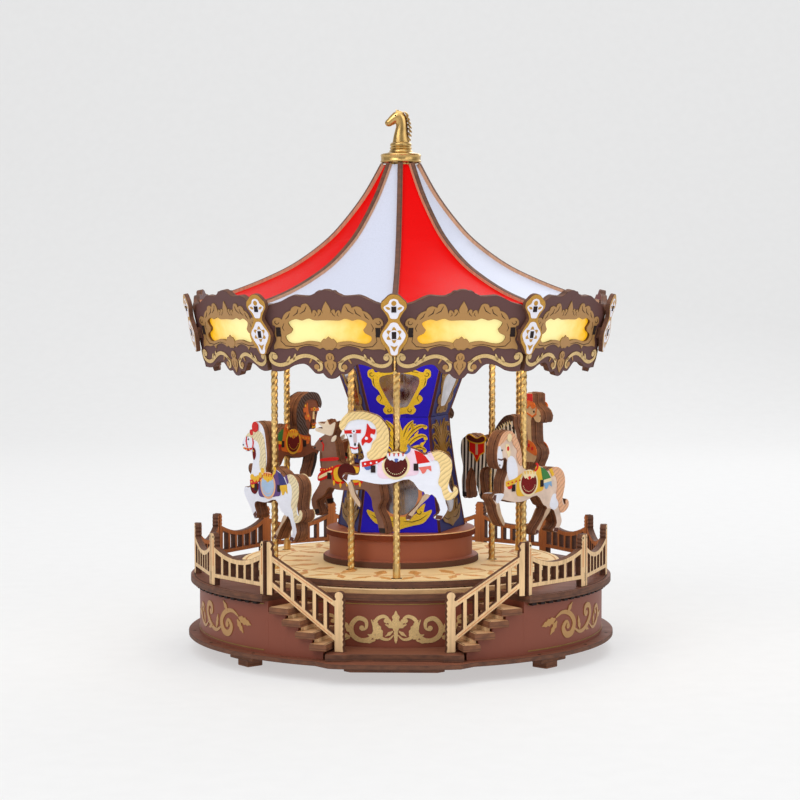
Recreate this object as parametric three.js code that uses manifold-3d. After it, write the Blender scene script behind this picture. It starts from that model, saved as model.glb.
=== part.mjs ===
// A carousel music box built from laser-cut plywood sheets, after the kind that is sold flat and
// put together by hand: a drum with a wind-up movement, a fenced deck with two flights of stairs,
// and a turning part with floor, tower, canopy and nine animals that rise and fall on poles.
// Millimetres, +Z up, front at -Y, origin on the ground under the middle.
import * as THREE from "three";
import { mergeVertices } from "three/addons/utils/BufferGeometryUtils.js";
import Module from "manifold-3d";

const wasm = await Module();
wasm.setup();

// ---------------------------------------------------------------- driving dimensions
const PLY = 3; // thickness of a plywood sheet
const THIN = 2; // thickness of a thin sheet
const GAP = 0.3; // clearance between pieces that touch in the real object

const FOOT = { ring: 88, angles: [50, 130, -130, -50], pad: 3, top: 7.2 };
const BASE = { radius: 102.4, bottom: 7.2, bulge: 104.5, bulgeHalf: 29, stepHalf: 35 };
const TRIM = { half: 19, wide: 22, nose: 102.8, corner: 100, back: 96, thick: 1.5 };
const BAY = { half: 36, radius: 77.2 };
const DRUM = { radius: 97, wall: 2.5, bottom: 9.2, top: 33 };
const DECK = { radius: 101.2, top: 36, hole: 72.5 };
const TRACK = { radius: 77.8, top: 38.4 };
const LANDING = { half: 30.5, front: 95, top: 12.2 };
const STEP = { rise: 4.9, inner: 78, outer: 100.5 };
const TREADS = [[28, 34], [24.5, 30], [20.5, 26], [17.4, 22]]; // degrees from the front
const FENCE = { ring: 98, pitch: 24, height: 24, rail: 5.5, sag: 13.6 };
const NEWEL = { ring: 92, angle: 15.3, width: 4.3, height: 27 };

const FLOOR = { radius: 77, bottom: 38.8, top: 41.8 };
const PLINTH = { flange: 37.5, body: 34.5, cap: 36, top: 57.6 };
const TOWER = { sides: 5, foot: 32.5, waist: 24.3, waistZ: 111.7, head: 36.5, top: 143.7, wall: 2.5 };
const CEILING = { radius: 93.5, bottom: 144, top: 147 };
const ROOF_RIB = [
  [98.3, 166.2], [93, 167.5], [81, 171], [66.5, 176.6], [51.8, 183.8],
  [37, 194.4], [27.2, 204.5], [17.3, 217.5], [9, 231.8],
]; // radius and height along a rib of the concave tent
const ROOF_SKIN = 1.5;
const SIDES = 10; // the canopy and its boards
const BOARD = { vertex: 100, mid: 156.15, lean: 12 };
const BADGE = { vertex: 102.65, lean: 12.2 };
const CAP = { radius: 9.8, bottom: 232.5, top: 237 };
const FINIAL = { neck: 242, top: 258.4 };

const POLE = { radius: 1.7, hole: 2.4, length: 138, low: 20 };
const RIDERS = [
  // name, degrees, ring, height above the lowest place, height of the body's middle, outline, turn
  { name: "horse_white", angle: 0, ring: 67, lift: 8, mid: 91, shape: "horse" },
  { name: "reindeer", angle: -30, ring: 44, lift: 1, mid: 85, shape: "deer" },
  { name: "horse_pompom", angle: -60, ring: 67, lift: 3, mid: 78.5, shape: "prancer", turn: -9 },
  { name: "horse_brown", angle: -120, ring: 67, lift: 6, mid: 94, shape: "horse" },
  { name: "zebra", angle: 90, ring: 44, lift: 2, mid: 93, shape: "zebra", turn: -40 },
  { name: "horse_pinto", angle: 60, ring: 67, lift: 2, mid: 80, shape: "stallion", turn: 15 },
  { name: "llama", angle: 120, ring: 67, lift: 7, mid: 92, shape: "llama" },
  { name: "horse_rear", angle: 180, ring: 67, lift: 5, mid: 88, shape: "horse" },
  { name: "horse_inner", angle: -150, ring: 44, lift: 4, mid: 88, shape: "pony" },
];
const ANIMAL_THICK = 7; // three sheets

const SHAFT = { radius: 2.5, hole: 3, flange: 8 };
const CROWN = { teeth: 24, inner: 9.6, outer: 12.2, bottom: 20, disc: 21.2, width: 1 };
const PINION = { teeth: 8, root: 2.8, tip: 4, width: 0.8, from: 9.8, to: 11.8, axis: 16.5 };
const CYLINDER = { radius: 4.6, from: 13.4, to: 30 };
const CAM = { inner: 40.5, outer: 72, crest: 19.6, depth: 9, waves: 3 };

// ---------------------------------------------------------------- finishes
const finish = (color, roughness, metalness = 0) =>
  new THREE.MeshStandardMaterial({ color, roughness, metalness });
const FINISH = {
  darkPly: finish(0x8c5f50, 0.6),
  leatherCard: finish(0x8a4630, 0.7),
  lightPly: finish(0xe4be8c, 0.6),
  marquetry: finish(0xf0d090, 0.5),
  plinth: finish(0xa5553c, 0.6),
  tower: finish(0x2d1ecd, 0.4),
  board: finish(0x5a3c3a, 0.6),
  roof: finish(0xeb0505, 0.3),
  gold: finish(0xb4823f, 0.35, 0.9),
  brass: finish(0xc9a04e, 0.35, 1),
  steel: finish(0xb8bcc0, 0.35, 1),
  circuit: finish(0x1f6b3a, 0.5),
  plastic: finish(0x222222, 0.5),
  whitePly: finish(0xf2eee6, 0.5),
  brownPly: finish(0x8a5a34, 0.6),
};

// ---------------------------------------------------------------- shaping helpers
const radians = THREE.MathUtils.degToRad;

// A closed geometry as a manifold solid, with its faces turned outwards.
function solidOf(geometry) {
  const bare = geometry.clone();
  bare.deleteAttribute("normal");
  bare.deleteAttribute("uv");
  const merged = mergeVertices(bare);
  const vertProperties = merged.attributes.position.array;
  const triVerts = new Uint32Array(merged.index.array);
  const made = new wasm.Manifold(new wasm.Mesh({ numProp: 3, vertProperties, triVerts }));
  if (made.volume() > 0) return made;
  for (let i = 0; i < triVerts.length; i += 3)
    [triVerts[i + 1], triVerts[i + 2]] = [triVerts[i + 2], triVerts[i + 1]];
  return new wasm.Manifold(new wasm.Mesh({ numProp: 3, vertProperties, triVerts }));
}

function geometryOf(solid) {
  const mesh = solid.getMesh();
  const geometry = new THREE.BufferGeometry();
  geometry.setAttribute("position", new THREE.BufferAttribute(mesh.vertProperties, 3));
  geometry.setIndex(new THREE.BufferAttribute(mesh.triVerts, 1));
  const flat = geometry.toNonIndexed();
  flat.computeVertexNormals();
  return flat;
}

const join = (...geometries) =>
  geometryOf(geometries.map(solidOf).reduce((whole, piece) => whole.add(piece)));
const cut = (geometry, ...tools) =>
  geometryOf(tools.map(solidOf).reduce((whole, tool) => whole.subtract(tool), solidOf(geometry)));

// A point on the plan, by radius and degrees from the front towards +X.
const polar = (radius, degrees) =>
  new THREE.Vector2(radius * Math.sin(radians(degrees)), -radius * Math.cos(radians(degrees)));

function arc(radius, from, to, step = 8) {
  const count = Math.max(1, Math.round(Math.abs(to - from) / step));
  return Array.from({ length: count + 1 }, (_, i) => polar(radius, from + ((to - from) * i) / count));
}

const points = (pairs) => pairs.map(([x, y]) => new THREE.Vector2(x, y));

function circle(radius, sides, x = 0, y = 0) {
  return Array.from({ length: sides }, (_, i) => {
    const angle = (2 * Math.PI * i) / sides;
    return new THREE.Vector2(x + radius * Math.cos(angle), y + radius * Math.sin(angle));
  });
}

// A sheet with this outline, lying flat on the height `bottom`.
function plate(outline, bottom, thick, holes = []) {
  const clockwise = THREE.ShapeUtils.isClockWise(outline);
  const shape = new THREE.Shape(clockwise ? [...outline].reverse() : outline);
  shape.holes = holes.map((hole) => new THREE.Path(hole));
  const geometry = new THREE.ExtrudeGeometry(shape, { depth: thick, bevelEnabled: false });
  return geometry.translate(0, 0, bottom);
}

// A sheet that stands up in the XZ plane: its outline's y becomes the height.
const panel = (outline, thick, holes = []) =>
  plate(outline, -thick / 2, thick, holes).rotateX(Math.PI / 2);

const sector = (inner, outer, from, to, bottom, top) =>
  plate([...arc(outer, from, to), ...arc(inner, to, from)], bottom, top - bottom);

// A turned piece, or one with flat sides when `sides` is small.
function turned(profile, sides = 32, start = 0) {
  const closed = profile[0][0] > 0 ? [...profile, profile[0]] : profile;
  const lathe = new THREE.LatheGeometry(points(closed), sides, radians(start));
  return lathe.rotateX(Math.PI / 2);
}

const block = (x, y, z, width, depth, height) =>
  new THREE.BoxGeometry(width, depth, height).translate(x, y, z + height / 2);

// A rod along +Z.
const rod = (radius, bottom, top, sides = 12, x = 0, y = 0) =>
  plate(circle(radius, sides, x, y), bottom, top - bottom);

// A closed outline from its right half, which starts and ends on the middle line.
const symmetric = (half) =>
  points([...half, ...half.slice(1, -1).reverse().map(([x, y]) => [-x, y])]);

const group = new THREE.Group();

function add(name, geometry, material) {
  const mesh = new THREE.Mesh(geometry, material);
  mesh.name = name;
  group.add(mesh);
  return mesh;
}

// ---------------------------------------------------------------- base
function basePlate() {
  const { radius, bulge, bulgeHalf, stepHalf, bottom } = BASE;
  const side = THREE.MathUtils.radToDeg(Math.asin(stepHalf / radius));
  const front = points([
    [-bulgeHalf, -bulge + 2], [-bulgeHalf + 5, -bulge + 0.8], [-12, -bulge],
    [12, -bulge], [bulgeHalf - 5, -bulge + 0.8], [bulgeHalf, -bulge + 2],
  ]);
  const outline = [...front, ...arc(radius, side, 360 - side)];
  return plate(outline, bottom, THIN, [circle(4, 16)]);
}

function foot() {
  const pad = points([[-9, -5], [9, -5], [6, 5], [-6, 5]]);
  const stem = points([[-4, -4], [4, -4], [4, 4], [-4, 4]]);
  const { ring, pad: padBottom, top } = FOOT;
  const shape = join(plate(pad, padBottom, top - padBottom), plate(stem, 0, padBottom + 1));
  return shape.translate(0, -ring, 0);
}

function stepTrim() {
  const { half, wide, nose, corner, back, thick } = TRIM;
  const outline = points([
    [-wide, -corner], [-half, -nose], [half, -nose], [wide, -corner], [wide, -back],
    [-wide, -back],
  ]);
  return plate(outline, BASE.bottom - thick, thick);
}

// The side of the drum with its bay, and the stepped stringers that carry the stairs.
function drumWall() {
  const { radius, wall, bottom, top } = DRUM;
  const skin = THREE.MathUtils.radToDeg(wall / BAY.radius);
  const outline = [...arc(radius, BAY.half, 360 - BAY.half), ...arc(BAY.radius, -BAY.half, BAY.half)];
  const inside = [
    ...arc(radius - wall, BAY.half + skin, 360 - BAY.half - skin),
    ...arc(BAY.radius - wall, -BAY.half - skin, BAY.half + skin),
  ];
  const ring = plate(outline, bottom, top - bottom, [inside]);
  const ends = [BAY.half + 1, ...TREADS.slice(1).map(([, to]) => to + 0.25), 19];
  const stringers = TREADS.flatMap((tread, i) => {
    const under = treadTop(i) - PLY - 0.05;
    return [-1, 1].map((side) =>
      sector(radius - wall, radius, side * ends[i + 1], side * ends[i], bottom, under),
    );
  });
  return join(ring, ...stringers);
}

const treadTop = (i) => DECK.top - STEP.rise * (i + 1);

function deckPlate() {
  const outline = [
    ...arc(DECK.radius, BAY.half, 360 - BAY.half),
    ...arc(BAY.radius + 1.4, -BAY.half, BAY.half),
  ];
  return plate(outline, DRUM.top, PLY, [arc(DECK.hole, 0, 352)]);
}

const trackRing = () =>
  turned([
    [DECK.hole, DECK.top], [TRACK.radius, DECK.top], [TRACK.radius, TRACK.top], [DECK.hole, TRACK.top],
  ], 36);

function landingPlate() {
  const { half, front, top } = LANDING;
  const reach = THREE.MathUtils.radToDeg(Math.asin(half / (BAY.radius + GAP)));
  const edge = points([
    [-half, -front - 1], [-half + 2, -front - 2], [-half + 9, -front - 2], [-half + 12, -front],
    [half - 12, -front], [half - 9, -front - 2], [half - 2, -front - 2], [half, -front - 1],
  ]);
  return plate([...edge, ...arc(BAY.radius + GAP, reach, -reach)], DRUM.bottom, top - DRUM.bottom);
}

// One flight: four radial treads, tied by the riser blocks between them.
function stair(side) {
  const pieces = TREADS.map(([from, to], i) =>
    sector(STEP.inner, STEP.outer, side * from, side * to, treadTop(i) - PLY, treadTop(i)),
  );
  for (let i = 1; i < TREADS.length; i++) {
    const from = TREADS[i - 1][0] + 0.3;
    const to = TREADS[i][1] - 0.2;
    pieces.push(
      sector(80, 96, side * from, side * to, treadTop(i) - 0.2, treadTop(i - 1) - PLY + 0.2),
    );
  }
  return join(...pieces);
}

// The slanting rail from the deck's end post down to the newel on the landing.
function handrail(side) {
  const post = polar(FENCE.ring, BAY.half);
  const newel = polar(NEWEL.ring, NEWEL.angle);
  const run = post.distanceTo(newel);
  const near = run - NEWEL.width / 2;
  const far = run + NEWEL.width / 2;
  const base = LANDING.top + 0.1;
  const knob = LANDING.top + NEWEL.height;
  const first = 3.3; // where the beams leave the end post
  const beam = { top: DECK.top + 17.6, topEnd: 35.2, low: DECK.top + 3.4, lowEnd: 17.2, deep: 2.8 };
  const slope = (from, to, x) => from + ((to - from) * (x - first)) / (near - first);
  const outline = points([
    [0.6, DECK.top + 0.1], [0.6, 60], [2.2, 60], [first, 58.4], [2.6, 56.8], [first, 55.6],
    [first, beam.top], [near, beam.topEnd], [near, knob - 4.4], [near + 0.6, knob - 3.4],
    [near, knob - 2], [near + 1, knob - 0.3], [run, knob], [far - 1, knob - 0.3], [far, knob - 2],
    [far - 0.6, knob - 3.4], [far, knob - 4.4], [far, base], [near, base],
    [near, beam.lowEnd], [first, beam.low], [first, DECK.top + 0.1],
  ]);
  const bays = 6;
  const pitch = (near - first + 1.6) / bays;
  const holes = Array.from({ length: bays }, (_, i) => {
    const from = first + 0.2 + pitch * i;
    const to = from + pitch - 1.8;
    return points([
      [from, slope(beam.low, beam.lowEnd, from) + beam.deep],
      [to, slope(beam.low, beam.lowEnd, to) + beam.deep],
      [to, slope(beam.top, beam.topEnd, to) - beam.deep],
      [from, slope(beam.top, beam.topEnd, from) - beam.deep],
    ]);
  });
  const along = Math.atan2(newel.y - post.y, newel.x - post.x);
  const rail = panel(outline, PLY, holes).rotateZ(along).translate(post.x, post.y, 0);
  return side > 0 ? rail : geometryOf(solidOf(rail).mirror([1, 0, 0]));
}

// One flat fence panel with half a post at each end, centred on the front.
function fencePanel(leftHalf, rightHalf) {
  const { ring, pitch, height, rail, sag } = FENCE;
  const floor = DECK.top + 0.1;
  const top = floor + height;
  const inner = ring * Math.sin(radians(pitch / 2)) - 2.9;
  const low = floor + sag;
  const crest = top - 6.5;
  const railTop = (x) => low + (crest - low) * (x / inner) ** 2;
  const bays = 6;
  const bay = (2 * inner) / bays;
  const leftPost = [
    [inner, floor], [inner, floor + rail - 2], [-inner, floor + rail - 2], [-inner, floor],
    [-leftHalf, floor], [-leftHalf, top], [-inner - 1, top], [-inner, top - 1.6],
    [-inner - 0.7, top - 3.2],
  ];
  const hollow = Array.from({ length: bays + 1 }, (_, i) => {
    const x = -inner + bay * i;
    return [x, railTop(x)];
  });
  const rightPost = [
    [inner + 0.7, top - 3.2], [inner, top - 1.6], [inner + 1, top], [rightHalf, top],
    [rightHalf, floor],
  ];
  const outline = points([...leftPost, ...hollow, ...rightPost]);
  const bar = 0.92; // half a bar's width
  const gaps = Array.from({ length: bays }, (_, i) => {
    const from = -inner + bay * i + (i ? bar : GAP);
    const to = -inner + bay * (i + 1) - (i < bays - 1 ? bar : GAP);
    const under = [from, to].map((x) => [x, railTop(x) - 2.3]);
    return panel(points([[to, floor + rail], [from, floor + rail], ...under]), 2 * PLY);
  });
  const apothem = ring * Math.cos(radians(pitch / 2));
  return cut(panel(outline, PLY), ...gaps).translate(0, -apothem, 0);
}

// Three panels between the posts at `first` and `first` + 72 degrees.
function fenceRun(first) {
  const half = FENCE.ring * Math.sin(radians(FENCE.pitch / 2));
  const clear = half - 0.55;
  return join(
    ...[0, 1, 2].map((i) =>
      fencePanel(i ? half + 0.2 : clear, i < 2 ? half + 0.2 : clear).rotateZ(
        radians(first + FENCE.pitch * (i + 0.5)),
      ),
    ),
  );
}

// ---------------------------------------------------------------- movement inside the drum
// The ring that the poles' lower ends ride on, with its top cut in waves.
function camRing() {
  const { inner, outer, crest, depth, waves } = CAM;
  const ring = turned([[inner, DRUM.bottom], [outer, DRUM.bottom], [outer, crest], [inner, crest]], 36);
  const place = ring.attributes.position;
  for (let i = 0; i < place.count; i++) {
    if (place.getZ(i) < crest - 0.01) continue;
    const angle = Math.atan2(place.getX(i), -place.getY(i));
    place.setZ(i, crest - (depth * (1 - Math.cos(waves * angle))) / 2);
  }
  return ring;
}

// A bearing bracket across the cylinder's axis, with its running hole.
function bracket(x, thick) {
  const hole = circle(1.1, 16, 0, PINION.axis);
  const sheet = plate(points([[-4, 10], [4, 10], [4, 19.2], [-4, 19.2]]), 0, thick, [hole]);
  return sheet.rotateX(Math.PI / 2).rotateZ(Math.PI / 2).translate(x, 0, 0);
}

function movementPlate() {
  const corners = points([[-19, -20.5], [33.5, -20.5], [33.5, 14], [-19, 14]]);
  const sheet = plate(corners, DRUM.bottom + 0.1, THIN, [circle(4, 16)]);
  return join(sheet, bracket(CYLINDER.from - 1.2, 0.9), bracket(CYLINDER.to + 1, 2));
}

// The spring barrel, its crown wheel and the square that drives the shaft, all in one turn.
function springBarrel() {
  const { teeth, inner, outer, bottom, disc, width } = CROWN;
  const body = turned([
    [0, 13.2], [8.5, 13.2], [8.5, disc - 0.2], [outer, disc], [outer, disc + 1.5], [0, disc + 1.5],
  ], 24);
  const tooth = new THREE.BoxGeometry(outer - inner, width, disc - bottom + 0.3);
  tooth.translate((inner + outer) / 2, 0, (disc + 0.3 + bottom) / 2);
  const crown = Array.from({ length: teeth }, (_, i) =>
    tooth.clone().rotateZ((2 * Math.PI * (i + 0.5)) / teeth),
  );
  return join(body, ...crown);
}

// The pinned cylinder on its arbor, driven by the crown wheel through an 8-leaf pinion.
function pinCylinder() {
  const { teeth, root, tip, width, from, to, axis } = PINION;
  const arbor = rod(1, from, CYLINDER.to + 3.2, 8);
  const core = rod(root, from, to, 16);
  const leaf = new THREE.BoxGeometry(tip, width, to - from).translate(tip / 2, 0, (from + to) / 2);
  const leaves = Array.from({ length: teeth }, (_, i) =>
    leaf.clone().rotateZ((2 * Math.PI * i) / teeth),
  );
  const drum = rod(CYLINDER.radius, CYLINDER.from, CYLINDER.to, 20);
  const pins = [];
  for (let row = 0; row < 9; row++) {
    const pin = new THREE.BoxGeometry(0.9, 0.4, 0.4).translate(CYLINDER.radius, 0, 0);
    pins.push(pin.rotateZ(row * 2.4).translate(0, 0, CYLINDER.from + 1.7 + row * 1.65));
  }
  const along = join(arbor, core, ...leaves, drum, ...pins);
  return along.rotateY(Math.PI / 2).translate(0, 0, axis);
}

function comb() {
  const teeth = 10;
  const pitch = (CYLINDER.to - CYLINDER.from - 1) / teeth;
  const left = CYLINDER.from + 0.5;
  const outline = [[left, -20], [left + teeth * pitch, -20]];
  for (let i = teeth - 1; i >= 0; i--) {
    const from = left + i * pitch;
    outline.push([from + pitch, -12], [from + pitch * 0.9, -12]);
    outline.push([from + pitch * 0.9, -6.2], [from + pitch * 0.1, -6.2], [from + pitch * 0.1, -12]);
  }
  outline.push([left, -12]);
  const steel = plate(points(outline), PINION.axis, 1);
  const riser = block(left + 7.5, -17.5, DRUM.bottom + THIN + 0.2, 13, 4, PINION.axis - 11.2);
  return join(steel, riser);
}

function windingKey() {
  const knob = Array.from({ length: 32 }, (_, i) => {
    const angle = (2 * Math.PI * i) / 32;
    const radius = i % 2 ? 12.6 : 13.2;
    return new THREE.Vector2(radius * Math.cos(angle), radius * Math.sin(angle));
  });
  const grip = plate(knob, 2, 3.6);
  return join(grip, rod(2, 5, 12.9, 12));
}

const driveShaft = () =>
  turned([
    [0, 22.9], [SHAFT.radius, 22.9], [SHAFT.radius, 35.5], [SHAFT.flange, 36.6], [SHAFT.flange, 38.6],
    [SHAFT.radius, 38.6], [SHAFT.radius, CEILING.top], [0, CEILING.top],
  ], 16);

// ---------------------------------------------------------------- the turning part
const poleHoles = () =>
  RIDERS.map(({ angle, ring }) => {
    const centre = polar(ring, angle);
    return circle(POLE.hole, 8, centre.x, centre.y);
  });

const floorDisc = () =>
  plate(arc(FLOOR.radius, 0, 354, 6), FLOOR.bottom, FLOOR.top - FLOOR.bottom, [
    circle(SHAFT.hole, 12),
    ...poleHoles(),
  ]);

function plinth() {
  const { flange, body, cap, top } = PLINTH;
  const low = FLOOR.top + 0.05;
  return turned([
    [SHAFT.hole, low], [flange, low], [flange, low + 2.8], [body, low + 2.8], [body, top - PLY],
    [cap, top - PLY], [cap, top], [SHAFT.hole, top],
  ], 36);
}

// A hollow length of the five-sided tower, from its outer rib's radii and heights.
function towerShell(rib) {
  const inside = rib.map(([radius, z]) => [radius - TOWER.wall, z]).reverse();
  return turned([...rib, ...inside], TOWER.sides, 180 / TOWER.sides);
}

const towerLower = () =>
  towerShell([
    [TOWER.foot, PLINTH.top + 0.05], [30.2, 70], [27.2, 87], [25.1, 102], [TOWER.waist, TOWER.waistZ],
  ]);

const towerUpper = () =>
  towerShell([[TOWER.waist, TOWER.waistZ + 0.1], [32.6, 133.5], [TOWER.head, TOWER.top]]);

function ceilingPlate() {
  const corner = Array.from({ length: SIDES }, (_, i) => polar(CEILING.radius, (360 * i) / SIDES));
  return plate(corner, CEILING.bottom, CEILING.top - CEILING.bottom, [
    circle(SHAFT.hole, 12),
    ...poleHoles(),
  ]);
}

function canopyRoof() {
  const inside = ROOF_RIB.map(([radius, z], i) =>
    i ? [radius - ROOF_SKIN * 0.7, z - ROOF_SKIN] : [radius - 3, z],
  );
  return turned([...ROOF_RIB, ...inside.reverse()], SIDES);
}

// Leans a standing sheet outwards at the top, and puts its outer face at this distance.
function leaned(geometry, distance, lean, thick) {
  const tilt = radians(lean);
  geometry.translate(0, -thick / 2, 0).rotateX(tilt);
  return geometry.translate(
    0, -distance + thick * Math.cos(tilt), BOARD.mid + thick * Math.sin(tilt),
  );
}

function roundingBoard() {
  const half = [
    [0, -24.1], [4, -21.4], [7.5, -21.8], [9.5, -19.6], [13.5, -17.4], [17.5, -18.2],
    [21, -20.4], [28.3, -20.6], [29.8, 6.5], [28, 8.8], [22.5, 10.2], [17.5, 12.8], [13, 13.4],
    [8, 13], [4, 15.4], [0, 15.8],
  ];
  const apothem = BOARD.vertex * Math.cos(Math.PI / SIDES);
  return leaned(panel(symmetric(half), PLY), apothem, BOARD.lean, PLY);
}

// The hourglass badge over a corner, with the block that ties it to the boards behind.
function badge(tieFrom, tieTo) {
  const half = [
    [0, -13.6], [5.6, -7.5], [6.15, -4], [2.5, 2.5], [4.9, 7.8], [5, 10.5], [3, 13.4], [0, 14],
  ];
  const shield = leaned(panel(symmetric(half), THIN), BADGE.vertex, BADGE.lean, THIN);
  const width = tieTo - tieFrom;
  const tie = block((tieFrom + tieTo) / 2, -98.6, 149.5, width, 3.4, 5);
  return join(shield, tie);
}

function boardPair(angle) {
  const step = 180 / SIDES;
  const pair = join(
    roundingBoard().rotateZ(radians(-step)),
    roundingBoard().rotateZ(radians(step)),
    badge(-3.4, 3.4),
    badge(-4.6, -0.4).rotateZ(radians(2 * step)),
  );
  return pair.rotateZ(radians(angle));
}

function lampBoard() {
  const disc = turned([[6, 147.2], [36, 147.2], [36, 148.8], [6, 148.8]], 20);
  const lamp = block(0, -33, 148.6, 4, 3, 1.6);
  const lamps = Array.from({ length: SIDES }, (_, i) =>
    lamp.clone().rotateZ((2 * Math.PI * (i + 0.5)) / SIDES),
  );
  return join(disc, ...lamps);
}

function batteryHolder() {
  const box = block(0, 0, 149.1, 50, 24, 12.5);
  const well = [-5.8, 5.8].map((y) =>
    rod(5.4, -22.5, 22.5, 16).rotateY(Math.PI / 2).translate(0, y, 157.5),
  );
  const mouth = block(0, 0, 157.5, 45, 22, 10);
  return cut(box, ...well, mouth);
}

const cap = () =>
  turned([
    [0, 227], [6.2, 227], [6.2, CAP.bottom], [CAP.radius, CAP.bottom + 0.4], [CAP.radius, CAP.top - 0.8],
    [CAP.radius - 0.8, CAP.top], [0, CAP.top],
  ], 24);

// A small horse's head on turned rings.
function finial() {
  const low = CAP.top + 0.05;
  const neck = FINIAL.neck;
  const rings = turned([
    [0, low], [5.4, low], [5.4, low + 1.5], [4.4, low + 2], [4.8, neck - 2], [3.6, neck - 0.6],
    [3.2, neck + 1], [0, neck + 1],
  ], 16);
  const head = points([
    [3.2, neck - 0.5], [3.6, 246], [5, 249], [6.1, 252], [5.4, 255], [3.2, 257], [0.8, 257.6],
    [-0.6, FINIAL.top], [-1.4, 256.6], [-3.6, 254.6], [-6.2, 251.6], [-6.4, 250.2], [-5, 249.6],
    [-2.2, 251.2], [-1.8, 248.6], [-3.4, 245], [-3.2, neck - 0.5],
  ]);
  return join(rings, panel(head, 5));
}

// ---------------------------------------------------------------- the riders
// Outlines from the pole's axis: forwards, and above the middle of the body.
const HINDQUARTERS = [ // saddle, rump, tail, hind legs and belly
  [-3.8, 7.9], [-5.4, 11.5], [-6.6, 10.4], [-9.8, 9.3], [-12.7, 7.4], [-17, 8.6], [-21.6, 7.9],
  [-24.9, 5], [-25.2, 0.8], [-23.8, -5], [-25.2, -9.3], [-26.3, -6.8], [-27.9, -8.5],
  [-27.5, -11.1], [-24.9, -13.2], [-22.4, -13.6], [-23.4, -17.6], [-20.2, -22.4],
  [-17.2, -22.1], [-16.6, -20.7], [-19.3, -17.8], [-15.9, -11.1], [-10.2, -16.8],
  [-6.3, -22.4], [-4.1, -22.1], [-5.2, -19.6], [-9.1, -15.7], [-12.4, -10.6], [-9.8, -8.9],
  [-5.5, -4.4], [2.7, -6.4], [9.8, -6.4],
];
const FORELEGS = [
  [20.2, -4.6], [18.1, -11.1], [15.9, -14.6], [16.3, -17.1], [18.4, -14.6], [20.9, -10.3],
  [22.2, -6.4], [24.5, -3.5], [23.1, -1.4], [17.3, -1.6], [16.6, 4.3],
];
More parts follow.
